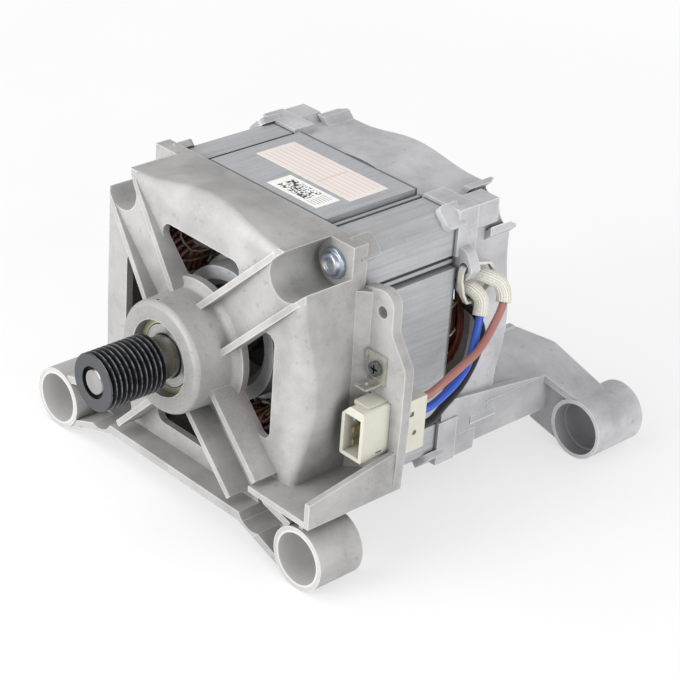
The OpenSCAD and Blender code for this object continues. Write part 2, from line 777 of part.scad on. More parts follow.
module front_shield() color(cast_front) facing_front() difference() {
    union() {
        difference() {
            bell();
            bell_room();
            four_sides() translate([0, 0, front_depth - 14])
                linear_extrude(30) polygon(window_shape());
        }
        in_bell_square(0) {
            for (a = [45, 135]) rotate([0, 0, a]) arm(upper_rib());
            for (a = [225, 315]) rotate([0, 0, a]) arm(lower_rib());
        }
        in_bell_square(0) for (a = [45:90:315]) rotate([0, 0, a])
            pocket_form(pocket_d + 2 * rib_wall, 0, front_depth - wall / 2, 30);
        both_sides() front_foot();
        connector_tray();
        connector_plate();
        for (a = [0, 90]) rotate([0, 0, a]) corner_claw();
        front_hub();
    }
    for (a = [45:90:315]) rotate([0, 0, a]) {
        pocket_form(pocket_d, bolt_seat, front_depth + 20, a < 180 ? 16 : 8);
        translate([bolt_offset * sqrt(2), 0, -over])
            cylinder(r = bolt_d / 2 + 0.3, h = bolt_seat + 2 * over);
    }
    translate([0, 0, -over]) cylinder(d = front_outer_d, h = hub_front - front_lip + over);
    cylinder(d = hub_opening_d, h = hub_front + over);
    both_sides() translate([foot_x, -foot_drop, 0]) cylinder(d = foot_bore_d, h = 100);
    connector_cut();
    rotate([0, 0, vent_angle]) translate([0, hub_d / 2 - 3, hub_front - 3]) rotate([-90, 0, 0])
        cylinder(d = 1.8, h = 10);
    translate([earth_x, earth_z, -plate_t - over]) cylinder(d = screw_d, h = plate_t + 2 * over);
    translate([earth_x, hole_z, -plate_t - over]) cylinder(d = 4.8, h = plate_t + 2 * over);
}

// Connector
conn_x = connector_side - connector_w;
conn_z = connector_top - connector_h;
conn_fit = 0.15;
conn_floor = 3;
lead_rows = [connector_top - 1.5, connector_top - 7.5, connector_top - 13.5];
lead_end = plate_t + connector_rear - 3;

module connector_cut() {
    translate([conn_x - conn_fit, conn_z - conn_fit, -plate_t - over])
        cube([connector_w + 2 * conn_fit, connector_h + 2 * conn_fit, plate_t + 2 * over]);
}

module connector_housing() color("#ece8dc") facing_front() difference() {
    s = 1.6;
    union() {
        translate([conn_x, conn_z, -plate_t - 1]) linear_extrude(connector_front + plate_t + 1)
            polygon(rounded([[0, 0], [connector_w, 0], [connector_w, connector_h],
                             [4, connector_h], [0, connector_h - 4]],
                            [0.8, 0.8, 1.2, 0.8, 0.8], 4));
        translate([conn_x - 1.5, conn_z + 1, -plate_t - connector_rear])
            cube([plate_side - conn_x + 1, connector_h + 1, connector_rear]);
        translate([conn_x + 2, conn_z + connector_h - 1, 0])
            cube([connector_w - 4, 1.8, connector_front - 4]);
    }
    translate([conn_x + s, conn_z + s, conn_floor])
        cube([connector_w - 2 * s, connector_h - 2 * s - 2, connector_front]);
    for (z = lead_rows) translate([conn_x + 1, z - 2.2, -plate_t - connector_rear - over])
        cube([plate_side - conn_x - 3, 4.4, 4 + over]);
    // Catch slot, test hole and drain slot in the outer side
    translate([plate_side - 1.5, connector_top - 5, -plate_t - 2.6]) cube([10, 2, 2.2]);
    translate([plate_side - 1.5, connector_top - 12.5, -plate_t - 3.6]) rotate([0, 90, 0])
        cylinder(d = 2.2, h = 10);
    translate([conn_x + connector_w - 0.8, conn_z + 2, 3]) cube([3, 0.8, 3]);
}

module connector_terminals() color("#c9b36a") facing_front()
    for (row = [0:2]) for (col = [0:1])
        translate([conn_x + 3.2 + col * 4.2, conn_z + 4 + row * 5, conn_floor])
            cube([0.8, 2.2, connector_front - conn_floor - 3]);

tab_t = 0.8;
module earth_tab() color("#c5c0ae") facing_front() difference() {
    union() {
        translate([earth_x - 4.6, earth_z - 6, 0]) cube([9.2, 12, tab_t]);
        translate([earth_x - 3.15, earth_z - 6, 0]) cube([6.3, tab_t, 9]);
        translate([earth_x - 5.6, earth_z + 2, 0]) cube([1.2, 4, 1.6]);
    }
    translate([earth_x, earth_z, -over]) cylinder(d = screw_d, h = 4);
    translate([earth_x, earth_z - 3, 5.5]) rotate([90, 0, 0]) cylinder(d = 1.7, h = 6);
}

module earth_screw() color("#8d8f94") facing_front() difference() {
    union() {
        translate([earth_x, earth_z, -plate_t - 1.5]) cylinder(d = screw_d, h = plate_t + 1.5 + tab_t);
        translate([earth_x, earth_z, tab_t]) cylinder(d = 6, h = 1.6);
    }
    for (a = [0, 90]) translate([earth_x, earth_z, tab_t + 1.2]) rotate([0, 0, a])
        cube([3.6, 0.8, 2], center = true);
}

// Rear shield
rear_half = half - 4;
horn_half = half - 1;
leg_x = 55.5;
leg_top = 36;
leg_slope = 16.7;
leg_t = 3.2;
leg_back = 131 - 48.5;
leg_wall_back = rear_foot_face - 48.5 + 1;

// One side of the rear shield, with its crown between the arms
crown_reach = 32;
function crowned_side(a) =
    let (m = crown_reach)
    [[-a, a], each [for (i = [-8:8]) [m * i / 8, a + crown * (1 + cos(180 * i / 8)) / 2]]];

module rear_outline(inset) {
    a = rear_half - inset;
    polygon([for (t = [0:90:270]) for (p = crowned_side(a)) turned(p, t)]);
}

module rear_box(inset) {
    translate([0, 0, inset > 0 ? -over : rear_gap])
        linear_extrude(rear_depth - rear_gap + (inset > 0 ? 3 * over : 0)) rear_outline(inset);
}

// Raised seats at the corners, beside the stack
seat_long = 10.5;
seat_w = 20;
module corner_seats() {
    four_sides() difference() {
        translate([half - seat_w, half - seat_w, 0]) cube([seat_w - 0.6, seat_w - 0.6, seat_long]);
        translate([half - seat_w - over, half - seat_w - over, -over])
            cube([seat_w - wall, seat_w - wall, seat_long + 2 * over]);
    }
}

module rear_leg_plate(t) {
    translate([leg_x, -leg_top, 0]) rotate([0, 0, -leg_slope]) translate([0, -t, 0])
        rotate([90, 0, 0]) mirror([0, 0, 1]) linear_extrude(t) children();
}

module rear_foot() {
    back = leg_back;
    face = rear_foot_face - stack_length;
    // Tube
    translate([foot_x, -foot_drop, face]) cylinder(d = foot_d, h = rear_foot_length);
    // Sloping top plate, as X from the side wall and distance behind the stack
    rear_leg_plate(leg_t) polygon(rounded([[-30, 28], [0.5, 28], [0.5, face - 2], [19, face + 1],
        [22, back - 2], [16, back], [-13, back], [-30, back - 11]],
        [0, 0, 0, 2, 2, 3, 5, 8], 5));
    // Side wall along the leg
    translate([leg_x - wall, 0, 2]) rotate([0, 90, 0]) mirror([1, 0, 0])
        linear_extrude(wall) polygon([[0, -leg_top - 17], [leg_wall_back, -leg_top - 17],
                                      [leg_wall_back, -leg_top - 1], [0, -leg_top + 8]]);
    // Inner rib and front web of the foot
    translate([leg_x - 29, -leg_top + 1, rear_depth - 3]) cube([3, 8, back - rear_depth - 8]);
    translate([0, 0, face + 2]) linear_extrude(3) polygon([
        [leg_x - 8, -leg_top - 2], [leg_x - 8, -foot_drop - 7], [foot_x - 4, -foot_drop - 12],
        [foot_x, -foot_drop], [foot_x - 2, -foot_drop + 12]]);
}

module rear_hub() {
    r = rear_hub_d / 2;
    rotate_extrude($fn = 96) polygon(concat(
        [[0, rear_bearing_start - 4], [r - 2, rear_bearing_start - 4], [r, rear_bearing_start - 2],
         [r, rear_web - wall], [window_inner_r + 0.6, rear_web - wall],
         [window_inner_r + 0.6, rear_web]],
        [for (i = [0:5]) let (a = i * 15) [r + 3.4 - 3 * sin(a), rear_web + 3.4 - 3 * cos(a)]],
        [[r, rear_lip_y + rear_lip - 1], [r - 1, rear_lip_y + rear_lip],
         [0, rear_lip_y + rear_lip]]));
}

function rear_rib() = [[rear_hub_d / 2 - 4, rear_web - wall], [90, rear_web - wall],
    [90, rear_depth], [rear_hub_d / 2 + 6, rear_depth], [rear_hub_d / 2 - 4, rear_depth - 4]];

module wire_opening() {
    translate([rear_half - wall - over, 0, 0]) rotate([0, 90, 0]) mirror([1, 0, 0])
        linear_extrude(20) polygon([[-over, -47], [5, -47], [10, -42], [15, -26],
                                    [15.4, 26], [13, 31.5], [-over, 31.5]]);
}

lug_z = 33;
module tie_lug() {
    translate([shell_half - 2, 0, 0]) difference() {
        translate([0, lug_z - 6, rear_gap]) linear_extrude(5) polygon(rounded(
            [[-2, 0], [5, 0], [9, 6], [5, 13], [-2, 15]], [0, 3, 3, 3, 0], 4));
        translate([4.6, lug_z, -over]) cylinder(d = 4.6, h = 12);
    }
}

module rear_shield() color(cast_rear) facing_rear() difference() {
    union() {
        difference() {
            rear_box(0);
            rear_box(wall);
            wire_opening();
        }
        intersection() {
            translate([-horn_half, -horn_half, 0])
                cube([2 * horn_half, 2 * horn_half, 100]);
            union() {
                difference() {
                    translate([0, 0, rear_web - wall]) linear_extrude(wall) rear_outline(0.5);
                    four_sides() translate([0, 0, rear_web - 10])
                        linear_extrude(30) polygon(window_shape());
                }
                for (a = [45:90:315]) rotate([0, 0, a]) {
                    for (side = [-1, 1]) rib(rear_rib(), side);
                    pocket_form(bolt_d + 9, 0, rear_web, 30);
                }
            }
        }
        corner_seats();
        four_sides() corner_claw();
        rear_hub();
        both_sides() rear_foot();
        tie_lug();
    }
    // Troughs of the arms, open at the corners
    for (a = [45:90:315]) rotate([0, 0, a])
        translate([rear_hub_d / 2 + 2, 0, rear_depth + 2]) rotate([0, 90, 0])
            cylinder(r = arm_width / 2 - rib_wall + 1.5, h = a < 180 ? 60 : 38);
    for (a = [45:90:315]) rotate([0, 0, a])
        translate([bolt_offset * sqrt(2), 0, -over]) cylinder(d = bolt_d, h = rear_web - 3);
    translate([0, 0, -over]) cylinder(d = rear_outer_d, h = rear_lip_y + over);
    cylinder(r = stub_d / 2 + 7, h = 100);
    both_sides() translate([foot_x, -foot_drop, rear_foot_face - stack_length - over]) {
        cylinder(d = foot_bore_d, h = 100);
        cylinder(d = rear_mouth_d, h = rear_mouth_depth + over);
    }
}

// Four through bolts with flanged heads
bolt_end = 17;
bolt_head_r = 4.7;
module through_bolts() color("#a9b4bf") facing_front() four_sides()
    translate([bolt_offset, bolt_offset, 0]) {
        translate([0, 0, -stack_length - bolt_end])
            cylinder(d = bolt_d - 0.1, h = stack_length + bolt_end + bolt_seat + 1);
        translate([0, 0, bolt_seat]) rotate_extrude() polygon(rounded(
            [[0, 0], [bolt_flange_d / 2, 0], [bolt_flange_d / 2, 1.5], [bolt_head_r, 1.8],
             [bolt_head_r - 0.4, 3.6], [2.6, 3.6], [2, 2.9], [0, 2.9]],
            [0, 0, 0.5, 0.3, 0.9, 0.4, 0.4, 0], 4));
    }

// Tachogenerator on the rear stub of the shaft
tacho_start = rear_lip_y + rear_lip;
magnet_gap = 0.6;
magnet_r = stub_d / 2 + 3.4;
module tacho_magnet() color("#3b3b40") facing_rear() difference() {
    translate([0, 0, tacho_start - 0.5]) cylinder(r = magnet_r, h = 9);
    translate([0, 0, -over]) cylinder(d = stub_d, h = 100);
}

module tacho_coil() color("#5b2a1a") facing_rear() translate([0, 0, tacho_start])
    rotate_extrude($fn = 72) polygon([
        [magnet_r + magnet_gap, 0], [rear_hub_d / 2 - 4, 0], [rear_hub_d / 2 - 4, 1.4],
        [rear_hub_d / 2 - 5, 1.4], [rear_hub_d / 2 - 5, 6.6], [rear_hub_d / 2 - 4, 6.6],
        [rear_hub_d / 2 - 4, 8], [magnet_r + magnet_gap, 8]]);

module tacho_cap() color("#2c2d30") facing_rear() translate([0, 0, tacho_start])
    rotate_extrude($fn = 72) polygon([
        [rear_hub_d / 2 - 3.9, 0], [rear_hub_d / 2 - 0.4, 0], [rear_hub_d / 2 - 0.4, 1.2],
        [rear_hub_d / 2 - 2.2, 1.2], [rear_hub_d / 2 - 2.4, 9.4], [rear_hub_d / 2 - 4, 11],
        [0, 11], [0, 9.4], [rear_hub_d / 2 - 4.6, 9.4], [rear_hub_d / 2 - 3.9, 8.6]]);

module thermal_protector() color("#24282c") along_shaft()
    rotate([0, 0, 100]) translate([winding_outer_r - 2, 0, -front_winding_height - 0.2])
        mirror([0, 0, 1]) translate([-9, -8, 0]) cube([6, 16, 4]);

// Lead wires: round points chosen along the route from the rear opening to the plug
lead_x = connector_side + 1.4;
brown_route = [[53, 58, 25], [57, 60, 27], [61, 62, 27], [65, 66, 24], [67.5, 66, 17],
               [70, 58, 9], [73, 48, 4], [76, 36, 2.5], [78, 25, 0.5], [77.5, 18, -2.6],
               [lead_x, lead_end, lead_rows[0]]];
blue_route = [[53, 54, 21], [56, 55, 22.6], [60, 56, 22.6], [63.5, 57.5, 19], [65, 56, 13],
              [68, 51, 5], [72, 44, -1], [75, 35, -4.5], [77, 26, -6.5], [78, 18, -8],
              [lead_x, lead_end, lead_rows[1]]];
black_route = [[53, 60, 12], [59, 61, 9], [64, 59.5, 3], [68, 52, -4], [71, 42, -10.5],
               [74, 30, -14], [77, 20, -15.5], [lead_x, lead_end, lead_rows[2]]];

// A smooth curve through the points, in steps of a fixed count
route_steps = 2;
function blend_point(a, b, c, d, t) = 0.5 * ((2 * b) + (c - a) * t
    + (2 * a - 5 * b + 4 * c - d) * t * t + (3 * b - a - 3 * c + d) * t * t * t);
function smooth_route(p, n = route_steps) =
    let (m = len(p) - 1)
    [each [for (i = [0:m - 1]) for (k = [0:n - 1])
        blend_point(p[max(i - 1, 0)], p[i], p[i + 1], p[min(i + 2, m)], k / n)], p[m]];
function part_of(p, first, last) = [for (i = [first:last]) p[i]];

module brown_wire() color("#b9726a") from_stack() tube(smooth_route(brown_route), wire_d / 2, 8);
module blue_wire() color("#2f56c4") from_stack() tube(smooth_route(blue_route), wire_d / 2, 8);
module black_wire() color("#202124") from_stack() tube(smooth_route(black_route), wire_d / 2, 8);

// Fibre sleeves over the start of two leads
module sleeve(route) {
    p = smooth_route(route);
    difference() {
        tube(part_of(p, 1, 4 * route_steps), sleeve_d / 2, 8);
        tube(part_of(p, 0, 4 * route_steps + 1), wire_d / 2 + 0.4, 8);
    }
}

module wire_sleeves() color("#e6e4cd") from_stack() {
    sleeve(brown_route);
    sleeve(blue_route);
}

// Tie through the lug and round both sleeves: points in Y and Z
tie_x = half - 2 + 4.6;
tie_loop = [[49.3, 31], [50.2, lug_z], [57.5, lug_z], [63.5, 31.6], [66.2, 28], [66, 24.4],
            [61.5, 18.8], [57, 17.6], [53, 18.4], [51, 22], [49.3, 28]];
tie_mid = [57, 26];
module cable_tie() color("#e9e9e6") from_stack()
    translate([tie_x + 1.1, 0, 0]) mirror([1, 0, 0]) rotate([90, 0, 90])
        linear_extrude(2.2) difference() {
            polygon([for (q = tie_loop) q + 1.2 * unit(q - tie_mid)]);
            polygon(tie_loop);
        }

// Labels on the top face, left plain
label_t = 0.15;
module rating_label() color("#ecebe4") from_stack()
    translate([-27, 19, half]) cube([54, 20, label_t]);
module code_label() color("#f4f4f2") from_stack()
    translate([-4, 4.5, half]) cube([28, 12, label_t]);

front_shield();
rear_shield();
stator_core();
slot_liners();
main_winding();
front_winding_turns();
rear_winding_turns();
front_bearing_outer_ring();
front_bearing_shields();
rear_bearing_outer_ring();
rear_bearing_shields();
wave_washer();
through_bolts();
connector_housing();
connector_terminals();
earth_tab();
earth_screw();
brown_wire();
blue_wire();
black_wire();
wire_sleeves();
cable_tie();
tacho_coil();
tacho_cap();
thermal_protector();
rating_label();
code_label();
shaft();
rotor_core();
rotor_cage();
pulley();
front_bearing_inner_ring();
rear_bearing_inner_ring();
tacho_magnet();
front_bearing_balls();
front_ball_cage();
rear_bearing_balls();
rear_ball_cage();
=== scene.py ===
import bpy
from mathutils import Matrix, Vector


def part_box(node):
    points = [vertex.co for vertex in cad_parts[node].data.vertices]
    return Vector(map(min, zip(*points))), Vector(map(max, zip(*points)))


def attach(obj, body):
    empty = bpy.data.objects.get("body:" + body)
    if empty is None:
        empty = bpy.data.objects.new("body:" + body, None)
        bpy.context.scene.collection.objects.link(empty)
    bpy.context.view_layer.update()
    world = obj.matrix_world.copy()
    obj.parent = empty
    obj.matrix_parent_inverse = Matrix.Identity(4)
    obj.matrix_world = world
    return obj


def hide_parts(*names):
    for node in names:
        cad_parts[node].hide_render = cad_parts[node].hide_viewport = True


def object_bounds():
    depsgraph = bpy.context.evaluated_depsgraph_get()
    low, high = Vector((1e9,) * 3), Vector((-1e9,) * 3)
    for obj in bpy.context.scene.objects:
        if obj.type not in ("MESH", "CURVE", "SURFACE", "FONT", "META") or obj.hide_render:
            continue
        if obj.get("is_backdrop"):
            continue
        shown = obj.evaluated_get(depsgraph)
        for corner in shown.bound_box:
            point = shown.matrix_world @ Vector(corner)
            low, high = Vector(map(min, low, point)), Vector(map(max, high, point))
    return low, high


bl_info = {
    "name": "Washing machine induction motor",
    "version": (1, 0, 0),
    "blender": (4, 5, 0),
    "location": "View3D > Sidebar > Motor",
    "description": "Finishes and fine pieces of a belt drive induction motor, on its CAD frame",
    "category": "Object",
}

import math

import bmesh
import bpy
from mathutils import Matrix, Vector

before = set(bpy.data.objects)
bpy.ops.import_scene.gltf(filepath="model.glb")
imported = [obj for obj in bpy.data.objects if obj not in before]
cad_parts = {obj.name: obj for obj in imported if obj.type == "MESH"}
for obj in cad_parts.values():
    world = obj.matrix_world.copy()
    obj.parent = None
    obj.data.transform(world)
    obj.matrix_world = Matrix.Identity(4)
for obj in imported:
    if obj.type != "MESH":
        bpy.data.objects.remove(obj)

FRAME_BODY = "motor_frame"
# The source counts from the front face of the stack, the frame from the pulley's middle
SHIFT = 0.06762
# Length of the stack, axis of a through bolt and radius of its pocket, and depths of the strap
# and the web of a front foot before the stack, in millimetres
STACK_LENGTH = 48.5
BOLT_ACROSS, POCKET_REACH = 47.5, 8.85
STRAP_FROM, STRAP_TO = 26.2, 41.15
WEB_FROM, WEB_TO = 23.5, 26.3
# How steeply the strap's lower edge falls towards a foot
STRAP_SLOPE = 0.3326
# Axes of the foot tubes from the shaft, and radii just past their rim and bore, in metres
FOOT_ACROSS, FOOT_DROP, FOOT_REACH, FOOT_BORE = 0.0737, 0.0543, 0.0133, 0.0113
# Radii within which the hub is darkest and past which it is plain, and of the pulley's groove
# tips, worn and with a painted highlight, in metres
HUB_DARKEST, HUB_PLAIN = 0.026, 0.037
TIP_BRIGHT_FROM, TIP_BRIGHTEST = 0.01128, 0.01152
# Two points closer than this are one, in metres
WELD = 0.000002
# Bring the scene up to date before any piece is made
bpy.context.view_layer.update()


def paint(text):
    """A screen colour such as #c9c9cb as a linear colour with alpha."""
    parts = [int(text[i:i + 2], 16) / 255 for i in (1, 3, 5)]
    linear = [c / 12.92 if c <= 0.04045 else ((c + 0.055) / 1.055) ** 2.4 for c in parts]
    return (*linear, 1.0)


def colour(name, text, description):
    """A colour that a user may change, given as a screen colour."""
    return bpy.props.FloatVectorProperty(
        name=name, description=description, subtype="COLOR", size=4,
        min=0.0, max=1.0, default=paint(text))


def length(name, value, description):
    """A length that a user may change, in metres."""
    return bpy.props.FloatProperty(
        name=name, description=description, default=value, min=0.0, unit="LENGTH",
        precision=5)


class MotorFinishes(bpy.types.PropertyGroup):
    """Colours of the finishes"""
    front_casting: colour("Front casting", "#aaa9a8", "As-cast aluminium of the front shield")
    rear_casting: colour("Rear casting", "#bdbdc0", "As-cast aluminium of the rear shield")
    stack: colour("Stack", "#b6b8bb", "Edges of the stator sheets")
    copper: colour("Copper", "#7a3a22", "Varnished winding wire")
    cord: colour("Lacing cord", "#d9cdb0", "Polyester cord round the end winding")
    pulley: colour("Pulley", "#2e2f32", "Phosphated steel of the belt pulley")
    shaft: colour("Shaft", "#b7b6b4", "Ground steel of the shaft")
    bearing: colour("Bearing", "#c2c3c2", "Ground bearing steel")
    seal: colour("Bearing shield", "#c9c5a4", "Pressed bearing shield, tinted by its grease film")
    zinc: colour("Bolt", "#98a1ab", "Blue zinc plate of the bolts")
    plug: colour("Connector", "#cbc9bc", "Ivory nylon of the connector")
    brass: colour("Terminal", "#b9a468", "Brass of the terminals")
    tin: colour("Earth tab", "#c9c6b8", "Tinned steel of the earth tab")
    brown: colour("Brown lead", "#a56f67", "PVC of the brown lead")
    blue: colour("Blue lead", "#3159c0", "PVC of the blue lead")
    black: colour("Black lead", "#161618", "PVC of the black lead")
    sleeve: colour("Sleeve", "#f1efe3", "Woven glass fibre sleeves")
    label: colour("Label", "#e6dfda", "Matt film of the labels")


class MotorSizes(bpy.types.PropertyGroup):
    """Sizes and counts of the fine pieces"""
    lead_radius: length("Lead radius", 0.0016, "Radius of a lead's insulation")
    sleeve_radius: length("Sleeve radius", 0.003, "Radius of a fibre sleeve")
    cord_radius: length("Cord radius", 0.00045, "Radius of the lacing cord")
    front_ties: bpy.props.IntProperty(
        name="Front lacings", description="Cord loops round the front end winding",
        default=24, min=6, max=48)
    rear_ties: bpy.props.IntProperty(
        name="Rear lacings", description="Cord loops round the rear end winding",
        default=24, min=6, max=48)


class MotorStage(bpy.types.PropertyGroup):
    """Light on the stage"""
    sky: bpy.props.FloatProperty(
        name="Surrounding light", description="Strength of the plain white surroundings",
        default=0.6, min=0.0, max=2.0)
    key: bpy.props.FloatProperty(
        name="Key light", description="Power that the soft lamps share out, in watts",
        default=5.2, min=0.0, max=60.0, unit="POWER")


# Node helpers

def add(tree, kind, inputs=None, **settings):
    """Adds a node with its settings; an input is a value or the socket that feeds it."""
    node = tree.nodes.new(kind)
    for name, value in settings.items():
        setattr(node, name, value)
    for name, value in (inputs or {}).items():
        socket = node.inputs[name]
        if isinstance(value, bpy.types.NodeSocket):
            tree.links.new(value, socket)
        else:
            socket.default_value = value
    return node


def shaded(colour_value, factor):
    """The colour times a factor, for the light and dark parts of one finish."""
    return (*[min(1.0, c * factor) for c in colour_value[:3]], 1.0)


class Finish:
    """A material with a Principled shader, ready for its pattern."""

    def __init__(self, name, metallic, roughness, **constant):
        self.material = bpy.data.materials.new(name)
        self.material.use_nodes = True
        self.tree = self.material.node_tree
        self.shader = self.tree.nodes["Principled BSDF"]
        self.shader.inputs["Metallic"].default_value = metallic
        self.shader.inputs["Roughness"].default_value = roughness
        for socket, value in constant.items():
            self.shader.inputs[socket.replace("_", " ")].default_value = value
        self.place = add(self.tree, "ShaderNodeTexCoord").outputs["Object"]

    def stretched(self, x, y, z):
        """The place with each axis scaled, so that a pattern runs along the smallest."""
        return add(self.tree, "ShaderNodeMapping",
                   {"Vector": self.place, "Scale": (x, y, z)}).outputs["Vector"]

    def noise(self, scale, detail=3.0, where=None, roughness=0.55):
        """Soft random cloud or grain, with this many cells to the metre."""
        return add(self.tree, "ShaderNodeTexNoise",
                   {"Vector": where or self.place, "Scale": scale, "Detail": detail,
                    "Roughness": roughness}).outputs["Fac"]

    def ramp(self, factor, stops):
        """A colour that runs through the stops, each a place from 0 to 1 and a colour."""
        node = add(self.tree, "ShaderNodeValToRGB", {"Fac": factor})
        ramp = node.color_ramp
        while len(ramp.elements) < len(stops):
            ramp.elements.new(0.5)
        for element, (position, value) in zip(ramp.elements, stops):
            element.position = position
            element.color = value
        return node.outputs["Color"]

    def blend(self, factor, a, b):
        node = add(self.tree, "ShaderNodeMix", data_type="RGBA")
        for index, value in ((0, factor), (6, a), (7, b)):
            if isinstance(value, bpy.types.NodeSocket):
                self.tree.links.new(value, node.inputs[index])
            else:
                node.inputs[index].default_value = value
        return node.outputs[2]

    def maths(self, operation, a, b=0.0, c=0.0):
        return add(self.tree, "ShaderNodeMath", {0: a, 1: b, 2: c},
                   operation=operation).outputs[0]

    def times(self, a, b):
        return self.maths("MULTIPLY", a, b)

    def wave(self, value, rate):
        """A sine of the value, which turns by this many radians to the metre."""
        return self.maths("SINE", self.times(value, rate))

    def within(self, value, middle, reach):
        """1 where the value lies less than the reach from the middle, else 0."""
        gap = self.maths("ABSOLUTE", self.maths("SUBTRACT", value, middle))
        return self.maths("LESS_THAN", gap, reach)

    def between(self, value, low, high, out_low=0.0, out_high=1.0):
        """The range from low to high brought to the other range, and held at its ends."""
        return add(self.tree, "ShaderNodeMapRange",
                   {"Value": value, "From Min": low, "From Max": high,
                    "To Min": out_low, "To Max": out_high}).outputs["Result"]

    def parts(self):
        return add(self.tree, "ShaderNodeSeparateXYZ", {"Vector": self.place}).outputs

    def over_box(self, low, high):
        """Place across and along a flat box seen from above, each from 0 to 1."""
        part = self.parts()
        return (self.between(part["X"], low[0], high[0]),
                self.between(part["Y"], low[1], high[1]))

    def around_shaft(self):
        """Distance from the shaft's axis, in metres."""
        part = self.parts()
        square = self.times(part["Z"], part["Z"])
        return self.maths("SQRT", self.maths("MULTIPLY_ADD", part["X"], part["X"], square))

    def hollow_shade(self, reach):
        """1 deep in a corner or pocket, 0 in the open; finishes darken by it as painted shade."""
        free = add(self.tree, "ShaderNodeAmbientOcclusion", {"Distance": reach},
                   samples=6).outputs["AO"]
        return self.between(free, 0.9, 0.3)

    def edge_wear_and_highlight(self, reach):
        """1 where the surface turns over an edge within the reach, 0 on flat ground; used for edge
        wear and a painted highlight.
        """
        soft = add(self.tree, "ShaderNodeBevel", {"Radius": reach}, samples=4).outputs["Normal"]
        flat = add(self.tree, "ShaderNodeNewGeometry").outputs["Normal"]
        turn = add(self.tree, "ShaderNodeVectorMath", {0: soft, 1: flat},
                   operation="DOT_PRODUCT").outputs["Value"]
        return self.between(turn, 0.99, 0.86)

    def tint(self, socket):
        self.tree.links.new(socket, self.shader.inputs["Base Color"])
        return self

    def gloss(self, factor, low, high):
        self.tree.links.new(self.between(factor, 0.25, 0.75, low, high),
                            self.shader.inputs["Roughness"])
        return self

    def relief(self, height, distance, strength):
        """Bump of this depth in metres, on top of any that is already there."""
        bump = add(self.tree, "ShaderNodeBump",
                   {"Height": height, "Distance": distance, "Strength": strength})
        previous = self.shader.inputs["Normal"].links
        if previous:
            self.tree.links.new(previous[0].from_socket, bump.inputs["Normal"])
        self.tree.links.new(bump.outputs["Normal"], self.shader.inputs["Normal"])
        return self


# Finishes

def cast_aluminium(name, base, bored=1.7):
    """Die-cast aluminium: cloudy flow marks, fine sand-like skin and a few dark specks.

    The bores of the feet are as pale as bored says, and 1 is the casting's own tone; below 1 it
    paints shade in the bores.
    """
    f = Finish(name, 0.3, 0.55)
    cloud = f.noise(30.0, 5.0, roughness=0.65)
    streak = f.noise(70.0, 4.0, f.stretched(1.0, 0.35, 1.0))
    grain = f.noise(1500.0, 2.0)
    tone = f.ramp(cloud, [(0.34, shaded(base, 0.72)), (0.5, base), (0.66, shaded(base, 1.2))])
    tone = f.blend(f.between(streak, 0.48, 0.66, 0.0, 0.55), tone, shaded(base, 0.76))
    speck = f.between(f.noise(320.0, 3.0), 0.62, 0.72, 0.0, 0.55)
    tone = f.blend(speck, tone, shaded(base, 0.6))
    # The hub is darker round the shaft
    film = f.between(f.around_shaft(), HUB_DARKEST, HUB_PLAIN, 0.42, 0.0)
    tone = f.blend(film, tone, shaded(base, 0.4))
    tone = f.blend(f.between(grain, 0.3, 0.7, 0.0, 0.3), tone, shaded(base, 1.2))
    # Painted shade darkens corners and pockets
    hollow_shade = f.hollow_shade(0.008)
    tone = f.blend(f.times(hollow_shade, 0.38), tone, shaded(base, 0.36))
    # Edges lighter: a painted highlight with some real edge wear, kept out of the painted shade
    edge = f.times(f.edge_wear_and_highlight(0.0008), f.maths("SUBTRACT", 1.0, hollow_shade))
    tone = f.blend(f.times(edge, 0.6), tone, shaded(base, 2.0))
    # The end faces of the feet are milled bright; their bores are bright, or darkened as painted
    # shade
    facing = add(f.tree, "ShaderNodeSeparateXYZ",
                 {"Vector": add(f.tree, "ShaderNodeTexCoord").outputs["Normal"]}).outputs["Y"]
    part = f.parts()
    aside = f.maths("SUBTRACT", f.maths("ABSOLUTE", part["X"]), FOOT_ACROSS)
    drop = f.maths("ADD", part["Z"], FOOT_DROP)
    square = f.maths("MULTIPLY_ADD", aside, aside, f.times(drop, drop))
    rim = f.times(f.maths("GREATER_THAN", f.maths("ABSOLUTE", facing), 0.98),
                  f.maths("LESS_THAN", square, FOOT_REACH ** 2))
    bore = f.maths("LESS_THAN", square, FOOT_BORE ** 2)
    tone = f.blend(f.times(rim, 0.33), tone, shaded(base, 1.7))
    tone = f.blend(f.times(bore, 0.55), tone, shaded(base, bored))
    f.tint(tone).gloss(cloud, 0.48, 0.66)
    f.relief(cloud, 0.0004, 0.35)
    return f.relief(grain, 0.00005, 0.6)


